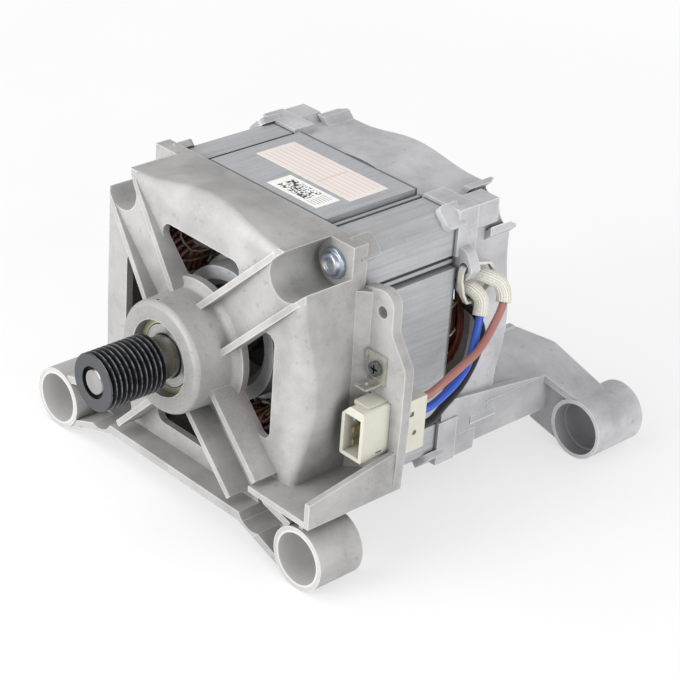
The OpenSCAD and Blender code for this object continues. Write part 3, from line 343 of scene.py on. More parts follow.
def sheet_stack(name, base):
    """Edges of stamped sheets: one tone a sheet, with drag marks along the stack."""
    f = Finish(name, 0.35, 0.5)
    sheet = f.noise(2000.0, 1.0, f.stretched(0.0, 1.0, 0.0))
    drag = f.noise(700.0, 4.0, f.stretched(1.0, 0.04, 1.0))
    cloud = f.noise(35.0, 4.0)
    tone = f.ramp(drag, [(0.3, shaded(base, 0.84)), (0.5, base), (0.7, shaded(base, 1.12))])
    tone = f.blend(f.between(sheet, 0.35, 0.65, 0.0, 0.22), tone, shaded(base, 0.7))
    tone = f.blend(f.between(f.noise(900.0, 2.0), 0.62, 0.74, 0.0, 0.4), tone, shaded(base, 0.6))
    # Painted shade darkens the stack in corners and recesses
    tone = f.blend(f.times(f.hollow_shade(0.007), 0.65), tone, shaded(base, 0.16))
    tone = f.blend(f.between(cloud, 0.48, 0.68, 0.0, 0.22), tone, paint("#96938e"))
    # A painted shadow of the gap where the shields seat, with some varnish, darkens the last
    # sheets
    front, rear = (corner[1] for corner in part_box("stator_core"))
    depth = f.parts()["Y"]
    last = f.maths("MAXIMUM", f.between(depth, rear - 0.0014, rear - 0.0006),
                   f.between(depth, front + 0.0014, front + 0.0006))
    tone = f.blend(f.times(last, 0.8), tone, shaded(base, 0.12))
    f.tint(tone).gloss(drag, 0.46, 0.62)
    f.relief(sheet, 0.00012, 0.7)
    return f.relief(drag, 0.00003, 0.4)


def wound_copper(name, base):
    """Varnished wire: round strands, 0.7 mm thick, that run about the shaft and stray a bit."""
    strands, stray = 4600.0, 0.0022
    f = Finish(name, 0.45, 0.34, Coat_Weight=0.35, Coat_Roughness=0.18)
    wander = f.times(f.noise(55.0, 2.0), stray)
    across = f.maths("ADD", f.maths("ADD", f.around_shaft(), f.parts()["Y"]), wander)
    strand = f.maths("ABSOLUTE", f.wave(across, strands))
    cloud = f.noise(90.0, 3.0)
    tone = f.ramp(cloud, [(0.3, shaded(base, 0.55)), (0.52, base), (0.75, shaded(base, 1.7))])
    # Painted shade in the grooves between strands
    tone = f.blend(f.between(strand, 0.0, 0.45, 0.75, 0.0), tone, shaded(base, 0.18))
    f.tint(tone).gloss(cloud, 0.26, 0.46)
    return f.relief(strand, 0.00022, 0.9)


def turned_steel(name, base, dark, metallic=0.9, low=0.16, high=0.3, rings=0.35):
    """Steel turned or ground about the shaft: fine rings and faint stains.

    Real tool marks are too fine to show, so the rings are drawn 0.7 and 1.1 mm apart.
    """
    fine_rings, broad_rings = 9000.0, 5600.0
    f = Finish(name, metallic, 0.25)
    across = f.maths("ADD", f.around_shaft(), f.parts()["Y"])
    ring = f.wave(across, fine_rings)
    cloud = f.noise(60.0, 2.0)
    tone = f.ramp(cloud, [(0.1, dark), (0.6, base), (0.9, shaded(base, 1.06))])
    broad = f.wave(f.around_shaft(), broad_rings)
    tone = f.blend(f.between(broad, -0.2, 0.9, 0.0, rings), tone, shaded(base, 0.45))
    tone = f.blend(f.between(ring, -1.0, 1.0, 0.0, 0.1), tone, shaded(base, 0.5))
    # Painted shade in corners and recesses
    tone = f.blend(f.times(f.hollow_shade(0.005), 0.75), tone, shaded(base, 0.06))
    f.tint(tone).gloss(cloud, low, high)
    return f.relief(ring, 0.000008, 0.3)


def phosphated_steel(name, base):
    """Near-black belt face with a greyer end face from wear, and groove tips lightened by wear and
    by a painted highlight.
    """
    f = Finish(name, 0.55, 0.42)
    cloud = f.noise(220.0, 4.0)
    tone = f.ramp(cloud, [(0.3, shaded(base, 0.6)), (0.55, base), (0.8, shaded(base, 1.5))])
    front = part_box("pulley")[0][1]
    end = f.between(f.parts()["Y"], front + 0.00022, front - 0.00028)
    tone = f.blend(f.times(end, 0.7), tone, paint("#7d7f83"))
    # Groove tips lighter: real wear, and a painted highlight
    tip_wear_and_highlight = f.times(f.between(f.around_shaft(), TIP_BRIGHT_FROM, TIP_BRIGHTEST, 0.0, 0.6),
                   f.between(f.noise(500.0, 3.0), 0.35, 0.6))
    tone = f.blend(tip_wear_and_highlight, tone, paint("#9a9c9f"))
    # Painted shade deep in the grooves
    tone = f.blend(f.times(f.hollow_shade(0.003), 0.7), tone, paint("#101012"))
    f.tint(tone).gloss(cloud, 0.34, 0.55)
    return f.relief(cloud, 0.00006, 0.4)


def bright_plate(name, base):
    """Thin plating or bare stamped metal: a faint cloud over a bright ground."""
    f = Finish(name, 0.8, 0.3)
    cloud = f.noise(130.0, 3.0)
    tone = f.ramp(cloud, [(0.28, paint("#8b96a6")), (0.5, base), (0.62, paint("#b9b9b4")),
                          (0.8, paint("#c4cad2"))])
    f.tint(tone).gloss(f.noise(400.0, 3.0), 0.22, 0.42)
    return f.relief(f.noise(900.0, 2.0), 0.00003, 0.5)


def moulded(name, base, roughness=0.42, soft=0.0, fine=900.0, stain=0.9):
    """Moulded plastic: an even colour with faint clouding and a spark-eroded skin."""
    f = Finish(name, 0.0, roughness, Subsurface_Weight=soft, Subsurface_Scale=0.002)
    cloud = f.noise(70.0, 3.0)
    tone = f.ramp(cloud, [(0.3, shaded(base, stain)), (0.6, base), (0.85, shaded(base, 1.05))])
    # Painted shade in corners and recesses
    tone = f.blend(f.times(f.hollow_shade(0.003), 0.6), tone, shaded(base, 0.3))
    f.tint(tone).gloss(cloud, roughness - 0.06, roughness + 0.1)
    return f.relief(f.noise(fine, 2.0), 0.00003, 0.5)


def woven_sleeve(name, base):
    """Braided glass yarn: two crossing sets of yarns and soft ribs on the sleeve's own map.

    Yarns and ribs are counts round the sleeve, and crossings a count to the metre.
    """
    f = Finish(name, 0.0, 0.7, Sheen_Weight=0.2)
    own = add(f.tree, "ShaderNodeAttribute", attribute_name="route_map").outputs["Vector"]
    split = add(f.tree, "ShaderNodeSeparateXYZ", {"Vector": own}).outputs
    yarns, ribs, crossings = 22, 18, 620.0
    around = f.times(split["Y"], 2 * math.pi * yarns)
    along = f.times(split["X"], 2 * math.pi * crossings)
    yarn = f.maths("MAXIMUM",
                   f.maths("SINE", f.maths("ADD", along, around)),
                   f.maths("SINE", f.maths("SUBTRACT", along, around)))
    tone = f.blend(f.between(yarn, -0.3, 0.9, 0.0, 1.0), shaded(base, 0.72), base)
    rib = f.maths("SINE", f.times(split["Y"], 2 * math.pi * ribs))
    tone = f.blend(f.between(rib, 0.2, -0.8, 0.0, 0.6), tone, shaded(base, 0.42))
    tone = f.blend(f.between(f.noise(160.0, 3.0), 0.5, 0.75, 0.0, 0.25), tone,
                   paint("#d8cfae"))
    f.tint(tone)
    return f.relief(yarn, 0.00012, 0.6)


def lead_plastic(name, base):
    """PVC insulation: glossy, with a slight drawn texture along the lead."""
    f = Finish(name, 0.0, 0.36, Specular_IOR_Level=0.5)
    own = add(f.tree, "ShaderNodeAttribute", attribute_name="route_map").outputs["Vector"]
    draw = add(f.tree, "ShaderNodeMapping",
               {"Vector": own, "Scale": (30.0, 8.0, 1.0)}).outputs["Vector"]
    grain = f.noise(6.0, 3.0, draw)
    tone = f.ramp(grain, [(0.3, shaded(base, 0.86)), (0.6, base), (0.85, shaded(base, 1.18))])
    f.tint(tone).gloss(grain, 0.3, 0.46)
    return f.relief(grain, 0.00008, 0.4)


def plain_label(name, base, low, high, rows, rule, ink):
    """Matt film with blank ruled rows and one upright rule at its share of the width."""
    f = Finish(name, 0.0, 0.5)
    u, v = f.over_box(low, high)
    inside = f.times(f.within(u, 0.5, 0.455), f.within(v, 0.5, 0.4))
    row = f.maths("LESS_THAN", f.maths("FRACT", f.times(v, rows)), 0.16)
    mark = f.maths("MAXIMUM", f.times(inside, row), f.times(inside, f.within(u, rule, 0.006)))
    film = f.ramp(f.noise(45.0, 3.0),
                  [(0.3, shaded(base, 0.94)), (0.6, base), (0.85, shaded(base, 1.03))])
    f.tint(f.blend(f.times(mark, 0.6), film, ink))
    return f.relief(f.noise(700.0, 2.0), 0.00002, 0.4)


def code_film(name, base, low, high):
    """White film with a block of random squares and plain bars, which hold no data."""
    f = Finish(name, 0.0, 0.45)
    u, v = f.over_box(low, high)
    wide = (high[0] - low[0]) / (high[1] - low[1])
    cells, bars = 18.0, 9.0
    where = add(f.tree, "ShaderNodeCombineXYZ",
                {"X": f.maths("FLOOR", f.times(u, cells * wide)),
                 "Y": f.maths("FLOOR", f.times(v, cells))}).outputs["Vector"]
    chance = add(f.tree, "ShaderNodeTexWhiteNoise", {"Vector": where},
                 noise_dimensions="2D").outputs["Value"]
    square = f.maths("GREATER_THAN", chance, 0.52)
    block = f.times(f.within(u, 0.42, 0.29), f.within(v, 0.5, 0.36))
    bar = f.maths("LESS_THAN", f.maths("FRACT", f.times(v, bars)), 0.35)
    ladder = f.times(bar, f.times(f.within(u, 0.84, 0.09), f.within(v, 0.5, 0.4)))
    mark = f.maths("MAXIMUM", f.times(square, block), f.times(ladder, 0.55))
    film = f.ramp(f.noise(60.0, 2.0), [(0.3, shaded(base, 0.97)), (0.7, base)])
    f.tint(f.blend(mark, film, paint("#3a3a3c")))
    return f.relief(f.noise(700.0, 2.0), 0.00002, 0.3)


# Geometry Nodes

def node_tree(name, *inputs):
    """A geometry tree with a geometry input and named value inputs."""
    tree = bpy.data.node_groups.new(name, "GeometryNodeTree")
    face = tree.interface
    face.new_socket("Geometry", in_out="INPUT", socket_type="NodeSocketGeometry")
    for label, kind in inputs:
        face.new_socket(label, in_out="INPUT", socket_type=kind)
    face.new_socket("Geometry", in_out="OUTPUT", socket_type="NodeSocketGeometry")
    entry = tree.nodes.new("NodeGroupInput").outputs
    leave = tree.nodes.new("NodeGroupOutput").inputs
    return tree, entry, leave


def give(piece, name, tree, **values):
    """Adds the tree to the piece and sets its inputs by their identifiers."""
    modifier = piece.modifiers.new(name, "NODES")
    modifier.node_group = tree
    for item in tree.interface.items_tree:
        if item.item_type == "SOCKET" and item.in_out == "INPUT":
            key = item.name.replace(" ", "_").lower()
            if key in values:
                modifier[item.identifier] = values[key]


def join_and_smooth_tree():
    """Welds a node's loose triangles and shades it smooth except at its sharp edges."""
    tree, entry, leave = node_tree(
        "Weld and shade", ("Weld Distance", "NodeSocketFloat"), ("Sharp Angle", "NodeSocketFloat"))
    welded = add(tree, "GeometryNodeMergeByDistance",
                 {"Geometry": entry["Geometry"], "Distance": entry["Weld Distance"]})
    angle = add(tree, "GeometryNodeInputMeshEdgeAngle").outputs["Unsigned Angle"]
    soft = add(tree, "FunctionNodeCompare", {0: angle, 1: entry["Sharp Angle"]},
               data_type="FLOAT", operation="LESS_THAN").outputs["Result"]
    faces = add(tree, "GeometryNodeSetShadeSmooth",
                {"Geometry": welded.outputs["Geometry"], "Shade Smooth": True}, domain="FACE")
    edges = add(tree, "GeometryNodeSetShadeSmooth",
                {"Geometry": faces.outputs["Geometry"], "Shade Smooth": soft}, domain="EDGE")
    tree.links.new(edges.outputs["Geometry"], leave["Geometry"])
    return tree


def round_strand_tree():
    """Welds swept turns, rounds them and grows them back to their thickness."""
    tree, entry, leave = node_tree(
        "Round strands", ("Weld Distance", "NodeSocketFloat"), ("Growth", "NodeSocketFloat"))
    welded = add(tree, "GeometryNodeMergeByDistance",
                 {"Geometry": entry["Geometry"], "Distance": entry["Weld Distance"]})
    rounded = add(tree, "GeometryNodeSubdivisionSurface",
                  {"Mesh": welded.outputs["Geometry"], "Level": 1})
    outward = add(tree, "ShaderNodeVectorMath",
                  {0: add(tree, "GeometryNodeInputNormal").outputs["Normal"],
                   "Scale": entry["Growth"]}, operation="SCALE").outputs["Vector"]
    grown = add(tree, "GeometryNodeSetPosition",
                {"Geometry": rounded.outputs["Mesh"], "Offset": outward})
    smooth = add(tree, "GeometryNodeSetShadeSmooth",
                 {"Geometry": grown.outputs["Geometry"], "Shade Smooth": True})
    tree.links.new(smooth.outputs["Geometry"], leave["Geometry"])
    return tree


def lead_tree():
    """A round lead along a curve, with a map that follows it."""
    tree, entry, leave = node_tree(
        "Lead", ("Radius", "NodeSocketFloat"), ("Sides", "NodeSocketInt"),
        ("Closed", "NodeSocketBool"), ("Finish", "NodeSocketMaterial"))
    measure = add(tree, "GeometryNodeSplineParameter").outputs["Length"]
    marked = add(tree, "GeometryNodeStoreNamedAttribute",
                 {"Geometry": entry["Geometry"], "Name": "run", "Value": measure},
                 data_type="FLOAT", domain="POINT")
    circle = add(tree, "GeometryNodeCurvePrimitiveCircle",
                 {"Resolution": entry["Sides"], "Radius": entry["Radius"]})
    turn = add(tree, "GeometryNodeSplineParameter").outputs["Factor"]
    rim = add(tree, "GeometryNodeStoreNamedAttribute",
              {"Geometry": circle.outputs["Curve"], "Name": "turn", "Value": turn},
              data_type="FLOAT", domain="POINT")
    swept = add(tree, "GeometryNodeCurveToMesh",
                {"Curve": marked.outputs["Geometry"], "Profile Curve": rim.outputs["Geometry"],
                 "Fill Caps": entry["Closed"]})
    run = add(tree, "GeometryNodeInputNamedAttribute", {"Name": "run"},
              data_type="FLOAT").outputs["Attribute"]
    back = add(tree, "GeometryNodeInputNamedAttribute", {"Name": "turn"},
               data_type="FLOAT").outputs["Attribute"]
    pair = add(tree, "ShaderNodeCombineXYZ", {"X": run, "Y": back}).outputs["Vector"]
    mapped = add(tree, "GeometryNodeStoreNamedAttribute",
                 {"Geometry": swept.outputs["Mesh"], "Name": "route_map", "Value": pair},
                 data_type="FLOAT_VECTOR", domain="POINT")
    smooth = add(tree, "GeometryNodeSetShadeSmooth",
                 {"Geometry": mapped.outputs["Geometry"], "Shade Smooth": True})
    real = add(tree, "GeometryNodeRealizeInstances", {"Geometry": smooth.outputs["Geometry"]})
    done = add(tree, "GeometryNodeSetMaterial",
               {"Geometry": real.outputs["Geometry"], "Material": entry["Finish"]})
    tree.links.new(done.outputs["Geometry"], leave["Geometry"])
    return tree


def ring_of_tree():
    """Swept copies of a closed curve, spaced evenly about the shaft."""
    tree, entry, leave = node_tree(
        "Round the shaft", ("Count", "NodeSocketInt"), ("Radius", "NodeSocketFloat"),
        ("Sides", "NodeSocketInt"), ("First Angle", "NodeSocketFloat"),
        ("Finish", "NodeSocketMaterial"))
    circle = add(tree, "GeometryNodeCurvePrimitiveCircle",
                 {"Resolution": entry["Sides"], "Radius": entry["Radius"]})
    swept = add(tree, "GeometryNodeCurveToMesh",
                {"Curve": entry["Geometry"], "Profile Curve": circle.outputs["Curve"],
                 "Fill Caps": True})
    points = add(tree, "GeometryNodePoints", {"Count": entry["Count"]})
    index = add(tree, "GeometryNodeInputIndex").outputs["Index"]
    step = add(tree, "ShaderNodeMath", {0: 2 * math.pi, 1: entry["Count"]}, operation="DIVIDE")
    angle = add(tree, "ShaderNodeMath",
                {0: index, 1: step.outputs[0], 2: entry["First Angle"]}, operation="MULTIPLY_ADD")
    turned = add(tree, "ShaderNodeCombineXYZ", {"Y": angle.outputs[0]}).outputs["Vector"]
    copies = add(tree, "GeometryNodeInstanceOnPoints",
                 {"Points": points.outputs["Points"], "Instance": swept.outputs["Mesh"],
                  "Rotation": turned})
    real = add(tree, "GeometryNodeRealizeInstances",
               {"Geometry": copies.outputs["Instances"]})
    smooth = add(tree, "GeometryNodeSetShadeSmooth",
                 {"Geometry": real.outputs["Geometry"], "Shade Smooth": True})
    done = add(tree, "GeometryNodeSetMaterial",
               {"Geometry": smooth.outputs["Geometry"], "Material": entry["Finish"]})
    tree.links.new(done.outputs["Geometry"], leave["Geometry"])
    return tree


# Meshes and curves

def from_stack(point):
    """Millimetres from the stack's front face to metres in the part's frame."""
    return (point[0] / 1000, point[1] / 1000 + SHIFT, point[2] / 1000)


def placed(name, data):
    """A new object in the scene, at the origin."""
    item = bpy.data.objects.new(name, data)
    bpy.context.scene.collection.objects.link(item)
    return item


def polyline(name, points, closed=False):
    """A curve object through points given in metres, in the part's frame."""
    curve = bpy.data.curves.new(name, "CURVE")
    curve.dimensions = "3D"
    spline = curve.splines.new("POLY")
    spline.points.add(len(points) - 1)
    for point, place in zip(spline.points, points):
        point.co = (*place, 1.0)
    spline.use_cyclic_u = closed
    return placed(name, curve)


def finished(source, name):
    """The evaluated source as a plain mesh piece that rides on the frame."""
    bpy.context.view_layer.update()
    seen = source.evaluated_get(bpy.context.evaluated_depsgraph_get())
    mesh = bpy.data.meshes.new_from_object(seen)
    piece = placed(name, mesh)
    bpy.data.objects.remove(source)
    if not mesh.polygons:
        raise RuntimeError(name + " came out empty")
    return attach(piece, FRAME_BODY)


def strip(name, inner, outer, near, far, finish):
    """A flat wall between two rows of points (x, z), from depth near to far, all in mm."""
    points, faces, count = [], [], len(inner)
    for row in (inner, outer):
        for depth in (near, far):
            points += [from_stack((x, -depth, z)) for x, z in row]
    a, b, c, d = (k * count for k in range(4))
    for i in range(count - 1):
        faces += [(a + i, a + i + 1, b + i + 1, b + i), (c + i, d + i, d + i + 1, c + i + 1),
                  (a + i, c + i, c + i + 1, a + i + 1), (b + i, b + i + 1, d + i + 1, d + i)]
    last = count - 1
    faces += [(a, b, d, c), (a + last, c + last, d + last, b + last)]
    mesh = bpy.data.meshes.new(name)
    mesh.from_pydata(points, [], faces)
    shape = bmesh.new()
    shape.from_mesh(mesh)
    bmesh.ops.recalc_face_normals(shape, faces=shape.faces[:])
    shape.to_mesh(mesh)
    shape.free()
    mesh.materials.append(finish)
    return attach(placed(name, mesh), FRAME_BODY)


def coated(name, finish):
    """The CAD node of this name, with this finish alone."""
    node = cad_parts[name]
    node.data.materials.clear()
    node.data.materials.append(finish)
    return node


def dress(finish, *nodes, sharp=32.0):
    """Gives CAD nodes their material and welded, angle-limited smooth shading."""
    tree = bpy.data.node_groups.get("Weld and shade") or join_and_smooth_tree()
    for name in nodes:
        node = coated(name, finish)
        give(node, "Weld and shade", tree, weld_distance=WELD,
             sharp_angle=math.radians(sharp))
        even = node.modifiers.new("Even normals", "WEIGHTED_NORMAL")
        even.keep_sharp = True


def finishes():
    return bpy.context.scene.motor_finishes


def sizes():
    return bpy.context.scene.motor_sizes


def smooth_points(points, steps=8):
    """A smooth curve through the points, as the source draws it, in finer steps."""
    out = []
    last = len(points) - 1
    for i in range(last):
        a, b = Vector(points[max(i - 1, 0)]), Vector(points[i])
        c, d = Vector(points[i + 1]), Vector(points[min(i + 2, last)])
        for k in range(steps):
            t = k / steps
            out.append(0.5 * (2 * b + (c - a) * t + (2 * a - 5 * b + 4 * c - d) * t * t
                              + (3 * b - a - 3 * c + d) * t ** 3))
    out.append(Vector(points[last]))
    return out


# Smooth points that a sleeve covers, from just inside the lead's start
SLEEVED = slice(4, 33)
# Points that the leads pass through, as in the source, in millimetres
LEAD_ROUTES = {
    "brown": [(53, 58, 25), (57, 60, 27), (61, 62, 27), (65, 66, 24), (67.5, 66, 17),
              (70, 58, 9), (73, 48, 4), (76, 36, 2.5), (78, 25, 0.5), (77.5, 18, -2.6),
              (76.4, 10.5, -3.5)],
    "blue": [(53, 54, 21), (56, 55, 22.6), (60, 56, 22.6), (63.5, 57.5, 19), (65, 56, 13),
             (68, 51, 5), (72, 44, -1), (75, 35, -4.5), (77, 26, -6.5), (78, 18, -8),
             (76.4, 10.5, -9.5)],
    "black": [(53, 60, 12), (59, 61, 9), (64, 59.5, 3), (68, 52, -4), (71, 42, -10.5),
              (74, 30, -14), (77, 20, -15.5), (76.4, 10.5, -15.5)],
}


# Pieces, one operator for each group

def foot_strap(side):
    """Lower and upper edge (x, z) of a front foot's strap under the bolt pocket, in mm."""
    start, steps = 42.0, 12
    low_bend, low_drop = 39.0, 55.45
    top_bend, top_drop, top_slope = 40.0, 51.55, 0.3735
    low, high = [], []
    for step in range(steps + 1):
        x = start + step
        under = abs(x - BOLT_ACROSS)
        pocket = -BOLT_ACROSS - math.sqrt(max(0.0, POCKET_REACH ** 2 - under ** 2))
        low.append((side * x, -low_drop - STRAP_SLOPE * (x - low_bend)))
        high.append((side * x, min(-top_drop - top_slope * (x - top_bend), pocket)))
    return low, high


def foot_web(side):
    """Inner and outer edge (x, z) of a front foot's web round the bolt pocket, in mm."""
    widest, bend, drop = 17.0, 39.0, 55.0
    first, turn, steps = -88.0, 5.5, 16
    fall = drop + STRAP_SLOPE * (BOLT_ACROSS - bend) - BOLT_ACROSS
    near, far = [], []
    for step in range(steps + 1):
        angle = math.radians(first + turn * step)
        across, down = math.cos(angle), -math.sin(angle)
        # A ray that meets the strap's lower edge stops there
        closing = max(down - STRAP_SLOPE * across, 0.05)
        room = min(widest, fall / closing)
        for row, reach in ((near, POCKET_REACH), (far, room)):
            row.append((side * (BOLT_ACROSS + reach * across), -reach * down - BOLT_ACROSS))
    return near, far


class MOTOR_OT_castings(bpy.types.Operator):
    """Finishes the two die-cast end shields"""
    bl_idname = "motor.castings"
    bl_label = "End shields"

    def execute(self, context):
        # Die-cast aluminium, a darker grey at the front
        front = cast_aluminium("Cast aluminium, front", finishes().front_casting).material
        dress(front, "front_shield")
        # The strap and the web of each front foot run on past the pocket of the lower bolt
        for side, name in ((1, "right"), (-1, "left")):
            strip("front_foot_strap_" + name, *foot_strap(side), STRAP_FROM, STRAP_TO,
                          front)
            strip("front_foot_web_" + name, *foot_web(side), WEB_FROM, WEB_TO, front)
        # Die-cast aluminium, paler at the rear, with painted shade in the bores of its feet
        rear = cast_aluminium("Cast aluminium, rear", finishes().rear_casting, bored=0.35)
        dress(rear.material, "rear_shield")
        return {"FINISHED"}


class MOTOR_OT_stator(bpy.types.Operator):
    """Finishes the stator stack and its slot liners"""
    bl_idname = "motor.stator"
    bl_label = "Stator stack"

    def execute(self, context):
        # Edges of electrical steel sheets
        dress(sheet_stack("Stamped electrical steel", finishes().stack).material, "stator_core")
        # Polyester film slot insulation
        dress(moulded("Polyester film", paint("#e2ded0"), 0.4, fine=500.0).material,
              "slot_liners")
        return {"FINISHED"}


# Radius and height of each lead-out on the rear end winding, in millimetres
LEAD_OUTS = ((46.0, 65.4), (44.4, 66.8), (42.6, 67.2), (46.4, 67.0), (44.8, 68.4),
             (43.0, 68.8), (46.6, 68.5))


def lead_out(number, reach, height):
    """Points of one lead-out: an arc that sways a little and sinks in at both ends."""
    start, turn, steps, level = 52.0, 4.6, 24, 8
    swing, depth = 0.5, 3.0
    middle = steps // 2
    points = []
    for step in range(steps + 1):
        angle = math.radians(start - turn * step)
        sway = swing * math.sin(0.6 * step + 1.9 * number)
        sink = depth * max(0.0, abs(step - middle) - level) / (middle - level)
        radius = reach + sway - 0.3 * sink
        points.append(from_stack((radius * math.cos(angle), height + 0.6 * sway - sink,
                                  radius * math.sin(angle))))
    return points


class MOTOR_OT_windings(bpy.types.Operator):
    """Rounds the outer turns of the end windings and gives them varnished copper"""
    bl_idname = "motor.windings"
    bl_label = "End windings"

    def execute(self, context):
        # Enamelled copper wire under varnish
        copper = wound_copper("Varnished copper wire", finishes().copper).material
        dress(copper, "main_winding")
        tree = round_strand_tree()
        for name in ("front_winding_turns", "rear_winding_turns"):
            give(coated(name, copper), "Round strands", tree, weld_distance=WELD,
                 growth=0.00014)
        # The tacho coil is wound with the same wire
        dress(copper, "tacho_coil")
        # The winding's own ends, laid in a bundle beside the opening for the leads
        strands = bpy.data.node_groups.get("Lead") or lead_tree()
        for number, (reach, height) in enumerate(LEAD_OUTS):
            line = polyline("rear_lead_out_line", lead_out(number, reach, height))
            give(line, "Lead", strands, radius=0.00085, sides=10, closed=True, finish=copper)
            piece = finished(line, "rear_lead_out_" + str(number + 1))
        return {"FINISHED"}


def lacing_loop(height, front):
    """Outline round an end winding's section, just outside its outer turns, in metres."""
    inner, outer, start, slack = 33.2, 47.85, 2.4, 0.25
    top = height + slack
    corners = [(inner, start), (outer, start), (outer - 0.3, top - 6.0), (outer - 2.2, top - 1.6),
               (outer - 6.2, top), (inner + 6.0, top), (inner + 1.8, top - 1.8),
               (inner + 0.3, top - 6.0)]
    return [from_stack((r, -h if front else STACK_LENGTH + h, 0.0)) for r, h in corners]


class MOTOR_OT_lacing(bpy.types.Operator):
    """Ties the end windings with loops of cord"""
    bl_idname = "motor.lacing"
    bl_label = "Winding cords"

    def execute(self, context):
        # Braided polyester lacing cord, soaked in varnish
        cord = moulded("Polyester cord", finishes().cord, 0.6, fine=2600.0, stain=0.75).material
        tree = ring_of_tree()
        for name, height, front, count in (
                ("front_winding_cords", 18.0, True, sizes().front_ties),
                ("rear_winding_cords", 17.0, False, sizes().rear_ties)):
            loop = polyline(name + "_line", lacing_loop(height, front), closed=True)
            give(loop, "Round the shaft", tree, count=count, radius=sizes().cord_radius,
                 sides=7, first_angle=0.09, finish=cord)
            piece = finished(loop, name)
        return {"FINISHED"}


class MOTOR_OT_rotor(bpy.types.Operator):
    """Finishes the shaft, the belt pulley and the squirrel-cage rotor"""
    bl_idname = "motor.rotor"
    bl_label = "Rotor and pulley"

    def execute(self, context):
        # Ground shaft steel
        dress(turned_steel("Ground shaft steel", finishes().shaft, paint("#8a8a8b"),
                           metallic=1.0, rings=0.0).material, "shaft")
        # Phosphated steel, with wear from the belt and a painted highlight on its groove tips
        dress(phosphated_steel("Phosphated pulley steel", finishes().pulley).material,
              "pulley", sharp=24.0)
        # Turned electrical steel of the rotor stack
        dress(turned_steel("Turned rotor steel", paint("#85878a"), paint("#66686b"),
                           metallic=0.7, low=0.3, high=0.46).material, "rotor_core")
        # Cast aluminium of the rotor cage, paler than the shields: partly its machined face,
        # partly painted light where it sits in shade behind the windows
        dress(cast_aluminium("Cast rotor aluminium", paint("#d6d8da")).material, "rotor_cage")
        # Plastic-bonded ferrite
        dress(moulded("Bonded ferrite", paint("#38383c"), 0.5).material, "tacho_magnet")
        return {"FINISHED"}


class MOTOR_OT_bearings(bpy.types.Operator):
    """Finishes both ball bearings and the wave washer"""
    bl_idname = "motor.bearings"
    bl_label = "Bearings"

    def execute(self, context):
        # Ground bearing steel
        dress(turned_steel("Ground bearing steel", finishes().bearing, paint("#97988f"),
                           metallic=0.85, low=0.18).material,
              "front_bearing_outer_ring", "rear_bearing_outer_ring",
              "front_bearing_inner_ring", "rear_bearing_inner_ring")
        # Polished balls
        dress(turned_steel("Polished ball steel", paint("#d0d1d3"), paint("#b0b1b4"),
                           metallic=0.95, low=0.06, high=0.12).material,
              "front_bearing_balls", "rear_bearing_balls")
        # Pressed steel shields with a film of grease
        dress(turned_steel("Greased shield steel", finishes().seal, paint("#a39f80"),
                           metallic=0.45, low=0.3, high=0.45).material,
              "front_bearing_shields", "rear_bearing_shields")
        # Cold-rolled strip of the cages
        dress(turned_steel("Cage strip steel", paint("#a8a9ab"), paint("#7f8083")).material,
              "front_ball_cage", "rear_ball_cage")
        # Spring steel of the wave washer; the earth screw is as bright
        dress(turned_steel("Spring steel", paint("#8c8e92"), paint("#63656a")).material,
              "wave_washer", "earth_screw")
        return {"FINISHED"}


class MOTOR_OT_bolts(bpy.types.Operator):
    """Finishes the four through bolts"""
    bl_idname = "motor.bolts"
    bl_label = "Through bolts"

    def execute(self, context):
        # Blue zinc plated steel
        dress(bright_plate("Blue zinc plate", finishes().zinc).material, "through_bolts",
              sharp=28.0)
        return {"FINISHED"}


class MOTOR_OT_connector(bpy.types.Operator):
    """Finishes the connector, its terminals and the earth tab"""
    bl_idname = "motor.connector"
    bl_label = "Connector"

    def execute(self, context):
        # Ivory nylon
        dress(moulded("Ivory nylon", finishes().plug, soft=0.08).material,
              "connector_housing")
        # Brass
        dress(bright_plate("Stamped brass", finishes().brass).material, "connector_terminals")
        # Tinned steel
        dress(bright_plate("Tinned steel", finishes().tin).material, "earth_tab")
        # Glass-filled black nylon
        dress(moulded("Black nylon", paint("#2b2c2f"), 0.48).material, "tacho_cap",
              "thermal_protector")
        # White nylon of the cable tie
        dress(moulded("White nylon", paint("#d3d1c6"), 0.4, soft=0.1).material, "cable_tie",
              sharp=60.0)
        return {"FINISHED"}


class MOTOR_OT_leads(bpy.types.Operator):
    """Sweeps the three leads and the two fibre sleeves along their routes"""
    bl_idname = "motor.leads"
    bl_label = "Leads and sleeves"

    def execute(self, context):
        tree = bpy.data.node_groups.get("Lead") or lead_tree()
        for key in LEAD_ROUTES:
            # Soft PVC insulation
            plastic = lead_plastic("PVC insulation, " + key, getattr(finishes(), key)).material
            points = [from_stack(p) for p in smooth_points(LEAD_ROUTES[key])]
            line = polyline(key + "_line", points)
            give(line, "Lead", tree, radius=sizes().lead_radius, sides=20, closed=True,
                 finish=plastic)
            piece = finished(line, key + "_lead")
            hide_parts(key + "_wire")
        # Woven glass fibre, stiffened with varnish
        weave = woven_sleeve("Woven glass sleeve", finishes().sleeve).material
        for key in ("brown", "blue"):
            points = [from_stack(p) for p in smooth_points(LEAD_ROUTES[key])][SLEEVED]
            line = polyline(key + "_sleeve_line", points)
            give(line, "Lead", tree, radius=sizes().sleeve_radius, sides=28, closed=False,
                 finish=weave)
            tube = finished(line, key + "_sleeve")
            wall = tube.modifiers.new("Wall", "SOLIDIFY")
            wall.thickness = 0.0005
            wall.offset = -1.0
            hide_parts("wire_sleeves")
        return {"FINISHED"}


